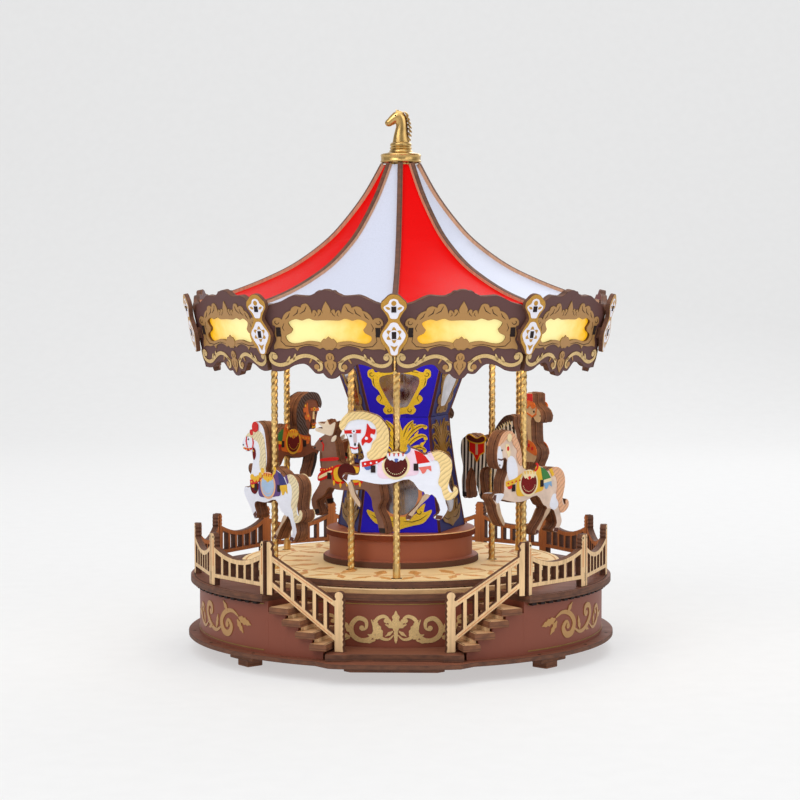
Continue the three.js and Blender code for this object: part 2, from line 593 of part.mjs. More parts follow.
const OUTLINES = {
  horse: [
    [25.4, 20.8], [23.8, 23.3], [20.6, 25.6], [15.9, 26.5], [10.6, 25.4], [6.3, 22.9], [3.4, 18.6],
    [2.9, 13.3], [3.9, 8.3], ...HINDQUARTERS, ...FORELEGS, [14.8, 6], [16.9, 12.2], [17, 7.9],
    [20.2, 7.5], [21.4, 12.5], [23.4, 17.6],
  ],
  stallion: [
    [20.4, 11], [21.6, 15], [21, 20.6], [18.6, 25.2], [15.4, 27.4], [11.4, 27.2], [8.4, 24.6],
    [6, 20.4], [4.6, 15], [3.4, 9.6], ...HINDQUARTERS, ...FORELEGS, [14.8, 8], [14.6, 12.6],
    [16.2, 14.6], [16.8, 11.6], [18.4, 9.6],
  ],
  prancer: [
    [22.6, 19.2], [22.2, 22], [18.8, 24.6], [15, 26.8], [14, 30.2], [11, 31.8], [7, 31.4],
    [3.4, 28.2], [1.6, 21], [1, 14], [1.8, 8.4], ...HINDQUARTERS, [11.6, -8], [9.6, -12.6],
    [12.4, -14.6], [15.2, -10.2], [19.6, -5.4], [21.4, -2.4], [20.4, 0.4], [16.2, 0.6],
    [15.8, 5], [14, 11], [13.6, 15.4], [16.6, 17.2], [19.4, 16.8],
  ],
  zebra: [
    [22.4, 5.4], [22, 11], [19.8, 15.6], [20, 18.8], [17.6, 20], [12.4, 18.8], [7.4, 14],
    [3.6, 8.4], [0.2, 7.6], [-2.6, 9.2], [-7, 7.6], [-12.4, 9.4], [-15.4, 8.2], [-19, 5.4],
    [-19.6, -1], [-17.8, -7.6], [-18.8, -14], [-17.8, -22], [-14.6, -22], [-15, -14.6],
    [-12, -8], [-9.4, -9.4], [-7.6, -15.6], [-4.6, -22], [-1.8, -21.6], [-4, -15.6], [-4, -8.4],
    [3, -6.6], [3.2, -12.4], [4.6, -20.4], [7.8, -20.4], [7.4, -12], [9.2, -7], [12.6, -3],
    [14, 2.4], [15.8, 8], [17.8, 4.6], [20, 3.6],
  ],
  pony: [
    [21.8, 13.5], [20.5, 19.4], [17, 22.6], [16.2, 26.3], [13.8, 23.8], [8.6, 20.6], [5.2, 14.2],
    [3.4, 8.6], [-3.8, 7.4], [-6, 9.6], [-12.4, 8], [-17.6, 8], [-20.6, 4.4], [-20.4, -4],
    [-18.2, -10.2], [-21, -15.6], [-19.6, -22], [-16, -22], [-16.6, -16], [-13.6, -9.4],
    [-9.6, -6.4], [-2.6, -7], [6.4, -7], [10.6, -6], [9.4, -12.6], [11.6, -18.6], [14.4, -17.6],
    [13.4, -11], [17, -9.4], [19.8, -12.6], [21.6, -10.4], [17.6, -4.2], [15.8, 1], [14.2, 8],
    [15.8, 12.8], [18.8, 10.2],
  ],
  deer: [
    [18.2, 12.2], [18.6, 14.4], [15.4, 18], [12.6, 20], [17.6, 21], [17.4, 22.6], [13.6, 22.6],
    [16.6, 25.2], [12.6, 24.8], [11, 26.8], [9.4, 24.4], [6, 26], [6.6, 22], [8, 18.6],
    [6.2, 15.4], [5.2, 9.6], [4, 6.8], [-4, 6], [-12, 6.8], [-15, 9.4], [-17.4, 8], [-17, 2.6],
    [-18, -3.4], [-19, -9.4], [-17.2, -13.4], [-20, -19], [-21, -24.8], [-17.6, -24.8],
    [-16, -19], [-13.6, -13.2], [-12.8, -9], [-9, -5.4], [-2, -6.2], [6, -6.2], [10, -5.4],
    [13, -9.4], [17, -12.2], [15.2, -17.8], [18, -18.4], [20.4, -11.2], [16, -4], [15.4, 0.4],
    [14.4, 6], [14.4, 10.6],
  ],
  llama: [
    [17.8, 17.4], [21.4, 15.2], [25.2, 15.4], [26.4, 18.4], [24.6, 21.4], [20.8, 23.2],
    [19, 25.2], [18.6, 29.4], [12.6, 29.4], [12, 24], [12.2, 17], [11.4, 10.4], [9, 7.4],
    [-4, 7.4], [-13, 7.4], [-17, 5.2], [-18.4, -1], [-16.2, -6.4], [-18.2, -13.2], [-16.2, -22],
    [-12.6, -22], [-13, -13.2], [-9.2, -6.6], [0, -7.2], [9.4, -6.4], [12.8, -12.4], [11.2, -22],
    [14.6, -22], [17, -12.4], [19.6, -6], [22.4, -2], [22.6, 2.2], [18.4, 5], [17.4, 11],
  ],
};

function animal({ angle, ring, mid, shape, turn = 0 }) {
  const body = plate(points(OUTLINES[shape]), -ANIMAL_THICK / 2, ANIMAL_THICK);
  const bore = rod(POLE.radius + GAP, -40, 40, 8).rotateX(Math.PI / 2);
  const pierced = cut(body, bore);
  // Riders face the way the carousel turns: to the left when they pass the front.
  pierced.rotateX(Math.PI / 2).rotateZ(Math.PI + radians(angle - turn));
  const centre = polar(ring, angle);
  return pierced.translate(centre.x, centre.y, mid);
}

function pole({ angle, ring, lift }) {
  const centre = polar(ring, angle);
  const bottom = POLE.low + lift;
  return rod(POLE.radius, bottom, bottom + POLE.length, 8, centre.x, centre.y);
}

// ---------------------------------------------------------------- the assembly
add("base_plate", basePlate(), FINISH.darkPly);
FOOT.angles.forEach((angle) => {
  const name = `foot_${Math.abs(angle) < 90 ? "front" : "back"}_${angle > 0 ? "right" : "left"}`;
  add(name, foot().rotateZ(radians(angle)), FINISH.darkPly);
});
add("step_trim", stepTrim(), FINISH.darkPly);
add("drum_wall", drumWall(), FINISH.leatherCard);
add("deck_plate", deckPlate(), FINISH.darkPly);
add("track_ring", trackRing(), FINISH.lightPly);
add("landing_plate", landingPlate(), FINISH.darkPly);
[-1, 1].forEach((side) => {
  const hand = side < 0 ? "left" : "right";
  add(`stair_${hand}`, stair(side), FINISH.lightPly);
  add(`handrail_${hand}`, handrail(side), FINISH.lightPly);
});
const RUNS = { right_front: 36, right_back: 108, left_back: 180, left_front: 252 };
Object.entries(RUNS).forEach(([name, first]) => add(`fence_${name}`, fenceRun(first), FINISH.lightPly));

add("cam_ring", camRing(), FINISH.darkPly);
add("movement_plate", movementPlate(), FINISH.brass);
add("spring_barrel", springBarrel(), FINISH.brass);
add("pin_cylinder", pinCylinder(), FINISH.brass);
add("comb", comb(), FINISH.steel);
add("winding_key", windingKey(), FINISH.plastic);
add("drive_shaft", driveShaft(), FINISH.steel);

add("floor_disc", floorDisc(), FINISH.marquetry);
add("plinth", plinth(), FINISH.plinth);
add("tower_lower", towerLower(), FINISH.tower);
add("tower_upper", towerUpper(), FINISH.tower);
add("ceiling_plate", ceilingPlate(), FINISH.lightPly);
add("canopy_roof", canopyRoof(), FINISH.roof);
for (let i = 0; i < SIDES / 2; i++)
  add(`rounding_boards_${i + 1}`, boardPair((720 * i) / SIDES), FINISH.board);
add("lamp_board", lampBoard(), FINISH.circuit);
add("battery_holder", batteryHolder(), FINISH.plastic);
add("cap", cap(), FINISH.gold);
add("finial", finial(), FINISH.gold);

RIDERS.forEach((rider, i) => {
  add(`pole_${i + 1}`, pole(rider), FINISH.gold);
  const pale = ["horse_white", "horse_pompom", "horse_pinto", "zebra"].includes(rider.name);
  add(rider.name, animal(rider), pale ? FINISH.whitePly : FINISH.brownPly);
});

export default group;
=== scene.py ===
"""A hand-built carousel music box: laser-cut plywood, printed card, foil ornaments and turned brass,
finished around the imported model. Sizes in the making functions are millimetres."""
import math
from collections import namedtuple

import bmesh
import bpy
from mathutils import Matrix, Vector


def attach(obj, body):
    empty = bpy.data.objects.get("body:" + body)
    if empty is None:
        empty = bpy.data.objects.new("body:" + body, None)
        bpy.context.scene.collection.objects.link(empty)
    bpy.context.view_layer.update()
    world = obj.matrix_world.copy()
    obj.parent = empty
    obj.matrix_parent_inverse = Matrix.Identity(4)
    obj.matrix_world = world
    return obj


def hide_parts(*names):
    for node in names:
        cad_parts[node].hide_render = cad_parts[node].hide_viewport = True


bl_info = {
    "name": "Carousel Music Box",
    "version": (1, 0, 0),
    "blender": (4, 5, 0),
    "location": "3D View > Sidebar > Carousel",
    "description": "Builds a wind-up carousel music box of cut plywood, card and brass",
    "category": "Add Mesh",
}

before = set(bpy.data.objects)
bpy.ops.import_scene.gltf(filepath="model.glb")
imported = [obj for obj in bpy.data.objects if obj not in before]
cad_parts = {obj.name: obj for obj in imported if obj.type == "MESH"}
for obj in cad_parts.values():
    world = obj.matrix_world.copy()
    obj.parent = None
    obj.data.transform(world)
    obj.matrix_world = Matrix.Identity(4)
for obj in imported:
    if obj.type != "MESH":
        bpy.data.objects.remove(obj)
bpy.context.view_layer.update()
MM = 0.001

# ------------------------------------------------------------------ sizes shared by several pieces
SIDES = 10  # the canopy, its boards and its ceiling
PLY, THIN = 3.0, 2.0
BAY_HALF, BAY_RADIUS = 36.0, 77.2
DRUM_RADIUS, DRUM_WALL, DRUM_LOW, DRUM_TOP = 97.0, 2.5, 9.2, 33.0
DECK_RADIUS, DECK_TOP = 101.2, 36.0
LANDING_TOP, LANDING_HALF, LANDING_FRONT = 12.2, 30.5, 95.0
TREADS = ((28, 34), (24.5, 30), (20.5, 26), (17.4, 22))  # degrees from the front
STEP_RISE, STEP_INNER, STEP_OUTER = 4.9, 78.0, 100.5
FENCE_RING, FENCE_PITCH, FENCE_HEIGHT, FENCE_RAIL, FENCE_SAG = 98.0, 24.0, 24.0, 5.5, 13.6
BOARD_RING, BOARD_LEAN, BADGE_RING, BADGE_LEAN, BOARD_MID = 100.0, 12.0, 102.65, 12.2, 156.15
TOWER_LOWER = ((32.5, 57.7), (30.2, 70), (27.2, 87), (25.1, 102), (24.3, 111.6))
TOWER_UPPER = ((24.3, 111.85), (28.2, 121.9), (32.6, 133.5), (34.9, 139.4), (36.5, 143.7))
ROOF_RIB = ((98.3, 166.2), (93, 167.5), (81, 171), (66.5, 176.6), (51.8, 183.8),
            (37, 194.4), (27.2, 204.5), (17.3, 217.5), (9, 231.8))
RIDERS = (  # name, degrees, ring, height of the body's middle, shape, turn, lift
    ("horse_white", 0, 67, 91, "horse", 0, 8), ("reindeer", -30, 44, 85, "deer", 0, 1),
    ("horse_pompom", -60, 67, 78.5, "prancer", -9, 3), ("horse_brown", -120, 67, 94, "horse", 0, 6),
    ("zebra", 90, 44, 93, "zebra", -40, 2), ("horse_pinto", 60, 67, 80, "stallion", 15, 2),
    ("llama", 120, 67, 92, "llama", 0, 7), ("horse_rear", 180, 67, 88, "horse", 0, 5),
    ("horse_inner", -150, 44, 88, "pony", 0, 4),
)
ANIMAL_THICK = 7.0  # three sheets


def srgb(red, green, blue):
    """A colour in 8-bit steps, as the linear values that a shader takes."""
    def linear(step):
        share = step / 255
        return share / 12.92 if share <= 0.04045 else ((share + 0.055) / 1.055) ** 2.4
    return (linear(red), linear(green), linear(blue))


# ------------------------------------------------------------------ places and outlines
def turn(degrees):
    return Matrix.Rotation(math.radians(degrees), 4, "Z")


def shift(x, y, z):
    return Matrix.Translation((x * MM, y * MM, z * MM))


UPRIGHT = Matrix.Rotation(math.radians(90), 4, "X")  # stands a flat drawing up, facing the front
UPSIDE_DOWN = Matrix.Rotation(math.pi, 4, "X")
FLIPPED = Matrix.Scale(-1, 4, (1, 0, 0))


def facing(angle, radius, z, lean=0.0):
    """The place of an upright sheet seen from outside: its x runs right, its y up, its z out."""
    stand = Matrix.Rotation(math.radians(90 + lean), 4, "X")
    return turn(angle) @ shift(0, -radius, z) @ stand


def flat(z):
    return shift(0, 0, z)


def polar(radius, degrees):
    """A point on the plan, by degrees from the front towards the right."""
    angle = math.radians(degrees)
    return (radius * math.sin(angle), -radius * math.cos(angle))


def arc(radius, start, end, step=3.0):
    count = max(1, round(abs(end - start) / step))
    return [polar(radius, start + (end - start) * i / count) for i in range(count + 1)]


def disc(x, y, radius, height=None, sides=24):
    tall = radius if height is None else height
    steps = [2 * math.pi * i / sides for i in range(sides)]
    return [(x + radius * math.cos(a), y + tall * math.sin(a)) for a in steps]


def slot_hole(x, y, width, height):
    w, h = width / 2, height / 2
    return [(x - w, y - h), (x + w, y - h), (x + w, y + h), (x - w, y + h)]


def mirror(outline):
    return [(-x, y) for x, y in outline][::-1]


def both(half):
    """A symmetric outline from its right half, whose ends lie on the middle line."""
    return list(half) + mirror(half)[1:-1]


def curved(points, steps=4, closed=True):
    """A smooth curve through the points. A point given twice is a corner."""
    count = len(points)
    found = []
    for i in range(count if closed else count - 1):
        near = [points[(i + k) % count] if closed else points[min(max(i + k, 0), count - 1)]
                for k in (-1, 0, 1, 2)]
        if near[1] == near[2]:
            continue
        for j in range(steps):
            t = j / steps
            found.append(tuple(
                0.5 * (2 * b + (c - a) * t + (2 * a - 5 * b + 4 * c - d) * t * t
                       + (3 * b - a - 3 * c + d) * t ** 3)
                for a, b, c, d in zip(*near)))
    return found if closed else found + [points[-1]]


def stroke(path, start, middle, end):
    """The outline of a brush stroke along a path, by its width at three places."""
    left, right = [], []
    last = len(path) - 1
    for i, (x, y) in enumerate(path):
        (ax, ay), (bx, by) = path[max(i - 1, 0)], path[min(i + 1, last)]
        size = math.hypot(bx - ax, by - ay) or 1.0
        t = i / last
        width = start * (1 - t) ** 2 + 2 * (2 * middle - (start + end) / 2) * t * (1 - t) + end * t * t
        nx, ny = -(by - ay) / size * width / 2, (bx - ax) / size * width / 2
        left.append((x + nx, y + ny))
        right.append((x - nx, y - ny))
    return left + right[::-1]


def spiral(x, y, radius, start, end, last_radius, step=20):
    """Points of a curl about (x, y), from one bearing in degrees to another."""
    count = max(2, round(abs(end - start) / step))
    found = []
    for i in range(count + 1):
        t = i / count
        angle = math.radians(start + (end - start) * t)
        reach = radius + (last_radius - radius) * t
        found.append((x + reach * math.cos(angle), y + reach * math.sin(angle)))
    return found


def leaf(x, y, length, width, bearing, lobes=0, steps=14):
    """A pointed leaf from its stalk at (x, y), with notched sides when it has lobes."""
    side = []
    for i in range(steps + 1):
        t = i / steps
        half = width / 2 * math.sin(math.pi * t ** 0.8) ** 0.8
        if lobes:
            half *= 0.82 + 0.18 * math.cos(2 * math.pi * lobes * t)
        side.append((length * t, half))
    outline = side + [(a, -b) for a, b in side[-2:0:-1]]
    angle = math.radians(bearing)
    return [(x + a * math.cos(angle) - b * math.sin(angle),
             y + a * math.sin(angle) + b * math.cos(angle)) for a, b in outline]


def inset(outline, depth):
    """The outline drawn in by a depth, point by point."""
    area = sum(a[0] * b[1] - b[0] * a[1] for a, b in zip(outline, outline[1:] + outline[:1]))
    depth = depth if area > 0 else -depth
    found = []
    for i, (x, y) in enumerate(outline):
        (ax, ay), (bx, by) = outline[i - 1], outline[(i + 1) % len(outline)]
        size = math.hypot(bx - ax, by - ay) or 1.0
        found.append((x - (by - ay) / size * depth, y + (bx - ax) / size * depth))
    return found


def around(radius, base=0.0):
    """Bends a drawing about the upright axis: x along the wall, y the height, z out."""
    def bend(point):
        angle = point.x / (radius * MM) + math.radians(base)
        reach = radius * MM + point.z
        return Vector((reach * math.sin(angle), -reach * math.cos(angle), point.y))
    return bend


def along_wall(profile, apothem_share, face_angle):
    """Lays a drawing on a tower face: x across it, y the height, z out from the card."""
    spin = turn(face_angle)

    def lay(point):
        z = point.y / MM
        pairs = list(zip(profile, profile[1:]))
        (r0, z0), (r1, z1) = next((p for p in pairs if z <= p[1][1]), pairs[-1])
        reach = (r0 + (r1 - r0) * (z - z0) / (z1 - z0)) * apothem_share
        return spin @ Vector((point.x, -reach * MM - point.z, point.y))
    return lay


# ------------------------------------------------------------------ pieces
class Piece:
    """One object in the making: cut sheets and turned parts gathered in one mesh."""

    def __init__(self, name):
        self.name = name
        self.bm = bmesh.new()
        self.bm.loops.layers.uv.new("cut")
        self.finishes = []

    def index(self, finish):
        if finish not in self.finishes:
            self.finishes.append(finish)
        return self.finishes.index(finish)

    def take(self, part, place=None, warp=None):
        """Adds a finished part, moved to its place or bent point by point."""
        if place is not None:
            bmesh.ops.transform(part, matrix=place, verts=part.verts)
        if warp is not None:
            for vert in part.verts:
                vert.co = warp(vert.co)
        mesh = bpy.data.meshes.new("part")
        part.to_mesh(mesh)
        part.free()
        self.bm.from_mesh(mesh)
        bpy.data.meshes.remove(mesh)

    def sheet(self, outline, thick, face, edge=None, place=None, warp=None, holes=(), bevel=0.0,
              rise=0.0, back=None, cuts=0):
        """A cut sheet: its front at its own height `rise`, its back `thick` below."""
        part = bmesh.new()
        uv = part.loops.layers.uv.new("cut")
        edges = []
        for loop in (outline, *holes):
            ring = [part.verts.new((x * MM, y * MM, rise * MM)) for x, y in loop]
            edges += [part.edges.new((ring[i - 1], ring[i])) for i in range(len(ring))]
        bmesh.ops.triangle_fill(part, use_beauty=True, use_dissolve=False, edges=edges)
        if not holes:
            bmesh.ops.dissolve_limit(part, angle_limit=0.01, verts=[], edges=part.edges[:])
        for i in range(1, cuts):
            low, high = (min(p[1] for p in outline), max(p[1] for p in outline))
            height = (low + (high - low) * i / cuts) * MM
            everything = part.verts[:] + part.edges[:] + part.faces[:]
            bmesh.ops.bisect_plane(part, geom=everything, plane_co=(0, height, 0), plane_no=(0, 1, 0))
        grown = bmesh.ops.extrude_face_region(part, geom=part.faces[:])["geom"]
        moved = [g for g in grown if isinstance(g, bmesh.types.BMVert)]
        bmesh.ops.translate(part, vec=(0, 0, -thick * MM), verts=moved)
        bmesh.ops.recalc_face_normals(part, faces=part.faces[:])
        if bevel:
            rim = [e for e in part.edges if abs(e.verts[0].co.z - e.verts[1].co.z) < 1e-7
                   and e.calc_face_angle(0) > 1]
            bmesh.ops.bevel(part, geom=rim, offset=bevel * MM, offset_type="OFFSET", segments=1,
                            profile=0.5, affect="EDGES", material=-1, clamp_overlap=False)
        part.normal_update()
        front, side = self.index(face), self.index(edge or face)
        behind = front if back is None else self.index(back)
        for made in part.faces:
            cap = abs(made.normal.z) > 0.9
            made.material_index = (front if made.normal.z > 0 else behind) if cap else side
            for loop in made.loops:
                x, y, z = loop.vert.co / MM
                loop[uv].uv = (x, y) if cap else (x + y, z)
        self.take(part, place, warp)

    def turned(self, profile, finish, sides=64, place=None, start=0.0):
        """A turned part from its radius and height; `finish` may choose by a face's middle."""
        part = bmesh.new()
        part.loops.layers.uv.new("cut")
        ring = [part.verts.new((r * MM, 0, z * MM)) for r, z in profile]
        edges = [part.edges.new(pair) for pair in zip(ring, ring[1:])]
        if profile[0][0] > 0:
            edges.append(part.edges.new((ring[-1], ring[0])))
        bmesh.ops.spin(part, geom=ring + edges, cent=(0, 0, 0), axis=(0, 0, 1),
                       angle=2 * math.pi, steps=sides, use_merge=True)
        bmesh.ops.remove_doubles(part, verts=part.verts, dist=1e-7)
        bmesh.ops.recalc_face_normals(part, faces=part.faces[:])
        bmesh.ops.rotate(part, cent=(0, 0, 0), verts=part.verts,
                         matrix=Matrix.Rotation(math.radians(start - 90), 3, "Z"))
        part.normal_update()
        if callable(finish):
            chosen = [finish(made.calc_center_median() / MM, made.normal) for made in part.faces]
        else:
            chosen = [finish] * len(part.faces)
        for name in sorted(set(chosen)):
            self.index(name)
        for made, name in zip(part.faces, chosen):
            made.material_index = self.index(name)
        self.take(part, place)

    def loft(self, rings, finish, place=None):
        """A carved form bridged through rings of points, closed at both ends."""
        part = bmesh.new()
        part.loops.layers.uv.new("cut")
        loops = []
        for ring in rings:
            verts = [part.verts.new(Vector(p) * MM) for p in ring]
            loops.append([part.edges.new((verts[i - 1], verts[i])) for i in range(len(verts))])
        for low, high in zip(loops, loops[1:]):
            bmesh.ops.bridge_loops(part, edges=low + high)
        for end in (loops[0], loops[-1]):
            bmesh.ops.contextual_create(part, geom=end)
        bmesh.ops.recalc_face_normals(part, faces=part.faces[:])
        for made in part.faces:
            made.material_index = self.index(finish)
        self.take(part, place)

    def done(self, body, nodes, slot, smooth=32.0):
        """Makes the object, shades its soft turns smooth, hangs it on its body and hides the parts it stands
        for.
        """
        for edge in self.bm.edges:
            edge.smooth = len(edge.link_faces) == 2 and edge.calc_face_angle(0) < math.radians(smooth)
        for made in self.bm.faces:
            made.smooth = True
        mesh = bpy.data.meshes.new(self.name)
        self.bm.to_mesh(mesh)
        self.bm.free()
        for finish in self.finishes:
            mesh.materials.append(finish_named(finish))
        made = bpy.data.objects.new(self.name, mesh)
        bpy.context.scene.collection.objects.link(made)
        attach(made, body)
        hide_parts(*([nodes] if isinstance(nodes, str) else nodes))
        return made


# ------------------------------------------------------------------ finishes
class Finish:
    """A material being wired: what colours, roughens and embosses one surface."""

    def __init__(self, name, roughness=0.6, metallic=0.0, **sockets):
        self.material = bpy.data.materials.new(name)
        self.material.use_nodes = True
        self.tree = self.material.node_tree
        self.shader = self.tree.nodes["Principled BSDF"]
        self.shader.inputs["Roughness"].default_value = roughness
        self.shader.inputs["Metallic"].default_value = metallic
        for socket, value in sockets.items():
            self.shader.inputs[socket.replace("_", " ")].default_value = value
        coordinates = self.tree.nodes.new("ShaderNodeTexCoord")
        self.object = coordinates.outputs["Object"]
        self.cut = coordinates.outputs["UV"]

    def add(self, kind, inputs, output=0, **settings):
        node = self.tree.nodes.new(kind)
        for name, value in settings.items():
            setattr(node, name, value)
        for name, value in inputs.items():
            socket = node.inputs[name]
            if isinstance(value, bpy.types.NodeSocket):
                self.tree.links.new(value, socket)
            else:
                socket.default_value = value
        return node.outputs[output]

    def stretched(self, scale, source=None):
        return self.add("ShaderNodeMapping", {"Vector": source or self.object, "Scale": scale})

    def noise(self, scale, detail=3.0, stretch=None, source=None, roughness=0.5):
        vector = self.stretched(stretch, source) if stretch else (source or self.object)
        return self.add("ShaderNodeTexNoise", {"Vector": vector, "Scale": scale, "Detail": detail,
                                               "Roughness": roughness})

    def maths(self, operation, a, b=0.0):
        return self.add("ShaderNodeMath", {0: a, 1: b}, operation=operation)

    def ramp(self, factor, *stops):
        node = self.tree.nodes.new("ShaderNodeValToRGB")
        self.tree.links.new(factor, node.inputs["Fac"])
        elements = node.color_ramp.elements
        while len(elements) < len(stops):
            elements.new(0.5)
        for element, (position, colour) in zip(elements, stops):
            element.position = position
            element.color = (*colour, 1.0)
        return node.outputs["Color"]

    def mix(self, factor, a, b):
        node = self.tree.nodes.new("ShaderNodeMix")
        node.data_type = "RGBA"
        for socket, value in ((0, factor), (6, a), (7, b)):
            if isinstance(value, bpy.types.NodeSocket):
                self.tree.links.new(value, node.inputs[socket])
            else:
                node.inputs[socket].default_value = (*value, 1.0) if isinstance(value, tuple) else value
        return node.outputs[2]

    def spread(self, factor, low, high, source_low=0.3, source_high=0.7):
        return self.add("ShaderNodeMapRange", {"Value": factor, "From Min": source_low,
                                               "From Max": source_high, "To Min": low, "To Max": high})

    def wire(self, socket, value):
        self.tree.links.new(value, self.shader.inputs[socket])

    def emboss(self, height, depth):
        """Raises the surface by a pattern; the depth is in millimetres."""
        self.wire("Normal", self.add("ShaderNodeBump", {"Height": height, "Distance": depth * MM,
                                                        "Strength": 1.0}))
        return self.material


def shade(colour, share):
    return tuple(min(1.0, c * share) for c in colour)


def wood(name, colour, grain="Z", roughness=0.58, contrast=0.72):
    """Veneer with long fibres, fine pores and slow cloudy changes of tone."""
    finish = Finish(name, roughness, Specular_IOR_Level=0.25)
    stretch = tuple(45 if axis == grain else 800 for axis in "XYZ")
    fibre = finish.noise(1.0, 5.0, stretch)
    pores = finish.noise(2.6, 2.0, tuple(1.4 * s for s in stretch))
    cloud = finish.noise(55.0, 2.0)
    tone = finish.ramp(fibre, (0.32, shade(colour, contrast)), (0.62, colour))
    tone = finish.mix(finish.spread(cloud, 0.0, 0.5), tone, shade(colour, 1.12))
    tone = finish.mix(finish.spread(pores, 0.35, 0.0, 0.28, 0.42), tone, shade(colour, 0.5))
    finish.wire("Base Color", tone)
    finish.wire("Roughness", finish.spread(fibre, roughness + 0.1, roughness - 0.08))
    return finish.emboss(fibre, 0.05)


def burnt(name, dark, pale):
    """The cut edge of three-layer plywood, scorched by the beam."""
    finish = Finish(name, 0.72)
    split = finish.add("ShaderNodeSeparateXYZ", {"Vector": finish.cut}, output=1)
    layers = finish.maths("PINGPONG", split, 1.0)
    smoke = finish.noise(1.0, 3.0, (240, 240, 500))
    streaks = finish.noise(0.9, 3.0, source=finish.cut)
    tone = finish.ramp(layers, (0.0, shade(dark, 1.15)), (0.3, pale))
    tone = finish.mix(finish.spread(smoke, 0.0, 0.75), tone, dark)
    finish.wire("Base Color", tone)
    return finish.emboss(streaks, 0.08)


def foil(name, colour, shine=0.45, roughness=0.42):
    """Metal foil pressed on card: a fine sparkle and slow dull patches."""
    finish = Finish(name, roughness, shine)
    speck = finish.noise(2600.0, 2.0)
    cloud = finish.noise(160.0, 3.0)
    tone = finish.ramp(speck, (0.3, shade(colour, 0.72)), (0.68, shade(colour, 1.15)))
    finish.wire("Base Color", finish.mix(finish.spread(cloud, 0.0, 0.6), tone, shade(colour, 0.8)))
    finish.wire("Roughness", finish.spread(cloud, roughness - 0.1, roughness + 0.15))
    return finish.emboss(speck, 0.02)


def paint(name, colour, roughness=0.42, wear=0.12):
    """Brushed enamel on wood, with faint strokes and a little wear to the tone."""
    finish = Finish(name, roughness, Specular_IOR_Level=0.3)
    brush = finish.noise(1.0, 3.0, (260, 260, 1300))
    cloud = finish.noise(220.0, 3.0)
    tone = finish.ramp(cloud, (0.28, shade(colour, 1 - wear)), (0.7, shade(colour, 1 + wear / 2)))
    finish.wire("Base Color", finish.mix(finish.spread(brush, 0.0, 0.35), tone, shade(colour, 0.9)))
    finish.wire("Roughness", finish.spread(brush, roughness - 0.06, roughness + 0.1))
    return finish.emboss(brush, 0.025)


def strands(name, colour):
    """Carved hair: flowing grooves across the sheet's own drawing."""
    finish = Finish(name, 0.5)
    flow = finish.noise(0.16, 2.0, source=finish.cut)
    bent = finish.add("ShaderNodeVectorMath", {0: finish.cut, 1: flow}, operation="ADD")
    waves = finish.add("ShaderNodeTexWave", {"Vector": bent, "Scale": 0.26, "Distortion": 7.0,
                                             "Detail": 2.0, "Detail Scale": 0.3},
                       output=1, bands_direction="DIAGONAL")
    tone = finish.ramp(waves, (0.0, shade(colour, 0.7)), (0.22, shade(colour, 0.93)), (0.8, colour))
    finish.wire("Base Color", tone)
    return finish.emboss(waves, 0.2)


def leather(name, colour):
    """Grained leather card with darker hollows."""
    finish = Finish(name, 0.72, Specular_IOR_Level=0.1)
    grain = finish.add("ShaderNodeTexVoronoi", {"Vector": finish.object, "Scale": 1100.0})
    cloud = finish.noise(70.0, 4.0)
    tone = finish.ramp(cloud, (0.3, shade(colour, 0.72)), (0.7, shade(colour, 1.2)))
    finish.wire("Base Color", finish.mix(finish.spread(grain, 0.45, 0.0, 0.0, 0.5), tone, shade(colour, 0.6)))
    finish.wire("Roughness", finish.spread(cloud, 0.62, 0.82))
    return finish.emboss(grain, 0.12)


def print_card(name, colour):
    """Satin printed card with a fine screen and soft sheen."""
    finish = Finish(name, 0.5, Specular_IOR_Level=0.12)
    screen = finish.noise(3200.0, 1.0)
    cloud = finish.noise(60.0, 2.0)
    tone = finish.ramp(screen, (0.3, shade(colour, 0.86)), (0.7, shade(colour, 1.08)))
    finish.wire("Base Color", finish.mix(finish.spread(cloud, 0.0, 0.4), tone, shade(colour, 0.82)))
    return finish.emboss(screen, 0.01)


def film(name, colour):
    """Glossy roof film drawn tight over the ribs, slightly rippled."""
    finish = Finish(name, 0.5, Specular_IOR_Level=0.04)
    ripple = finish.noise(1.0, 2.0, (26, 26, 60))
    dust = finish.noise(1500.0, 3.0)
    finish.wire("Base Color", finish.ramp(dust, (0.25, shade(colour, 0.93)), (0.6, colour)))
    finish.wire("Roughness", finish.spread(dust, 0.36, 0.48))
    return finish.emboss(ripple, 0.5)


def metal(name, colour, roughness=0.25, scratch=(900, 900, 60)):
    """Turned metal with fine tool marks and tarnish in the hollows."""
    finish = Finish(name, roughness, 1.0)
    marks = finish.noise(1.0, 3.0, scratch)
    tarnish = finish.noise(140.0, 4.0)
    tone = finish.ramp(tarnish, (0.3, shade(colour, 0.62)), (0.62, colour))
    finish.wire("Base Color", tone)
    finish.wire("Roughness", finish.spread(marks, roughness, roughness + 0.16))
    return finish.emboss(marks, 0.02)


def moulded(name, colour):
    """Moulded plastic with a fine spark texture."""
    finish = Finish(name, 0.5)
    spark = finish.noise(2400.0, 2.0)
    finish.wire("Base Color", finish.ramp(spark, (0.3, shade(colour, 0.8)), (0.7, shade(colour, 1.3))))
    return finish.emboss(spark, 0.03)


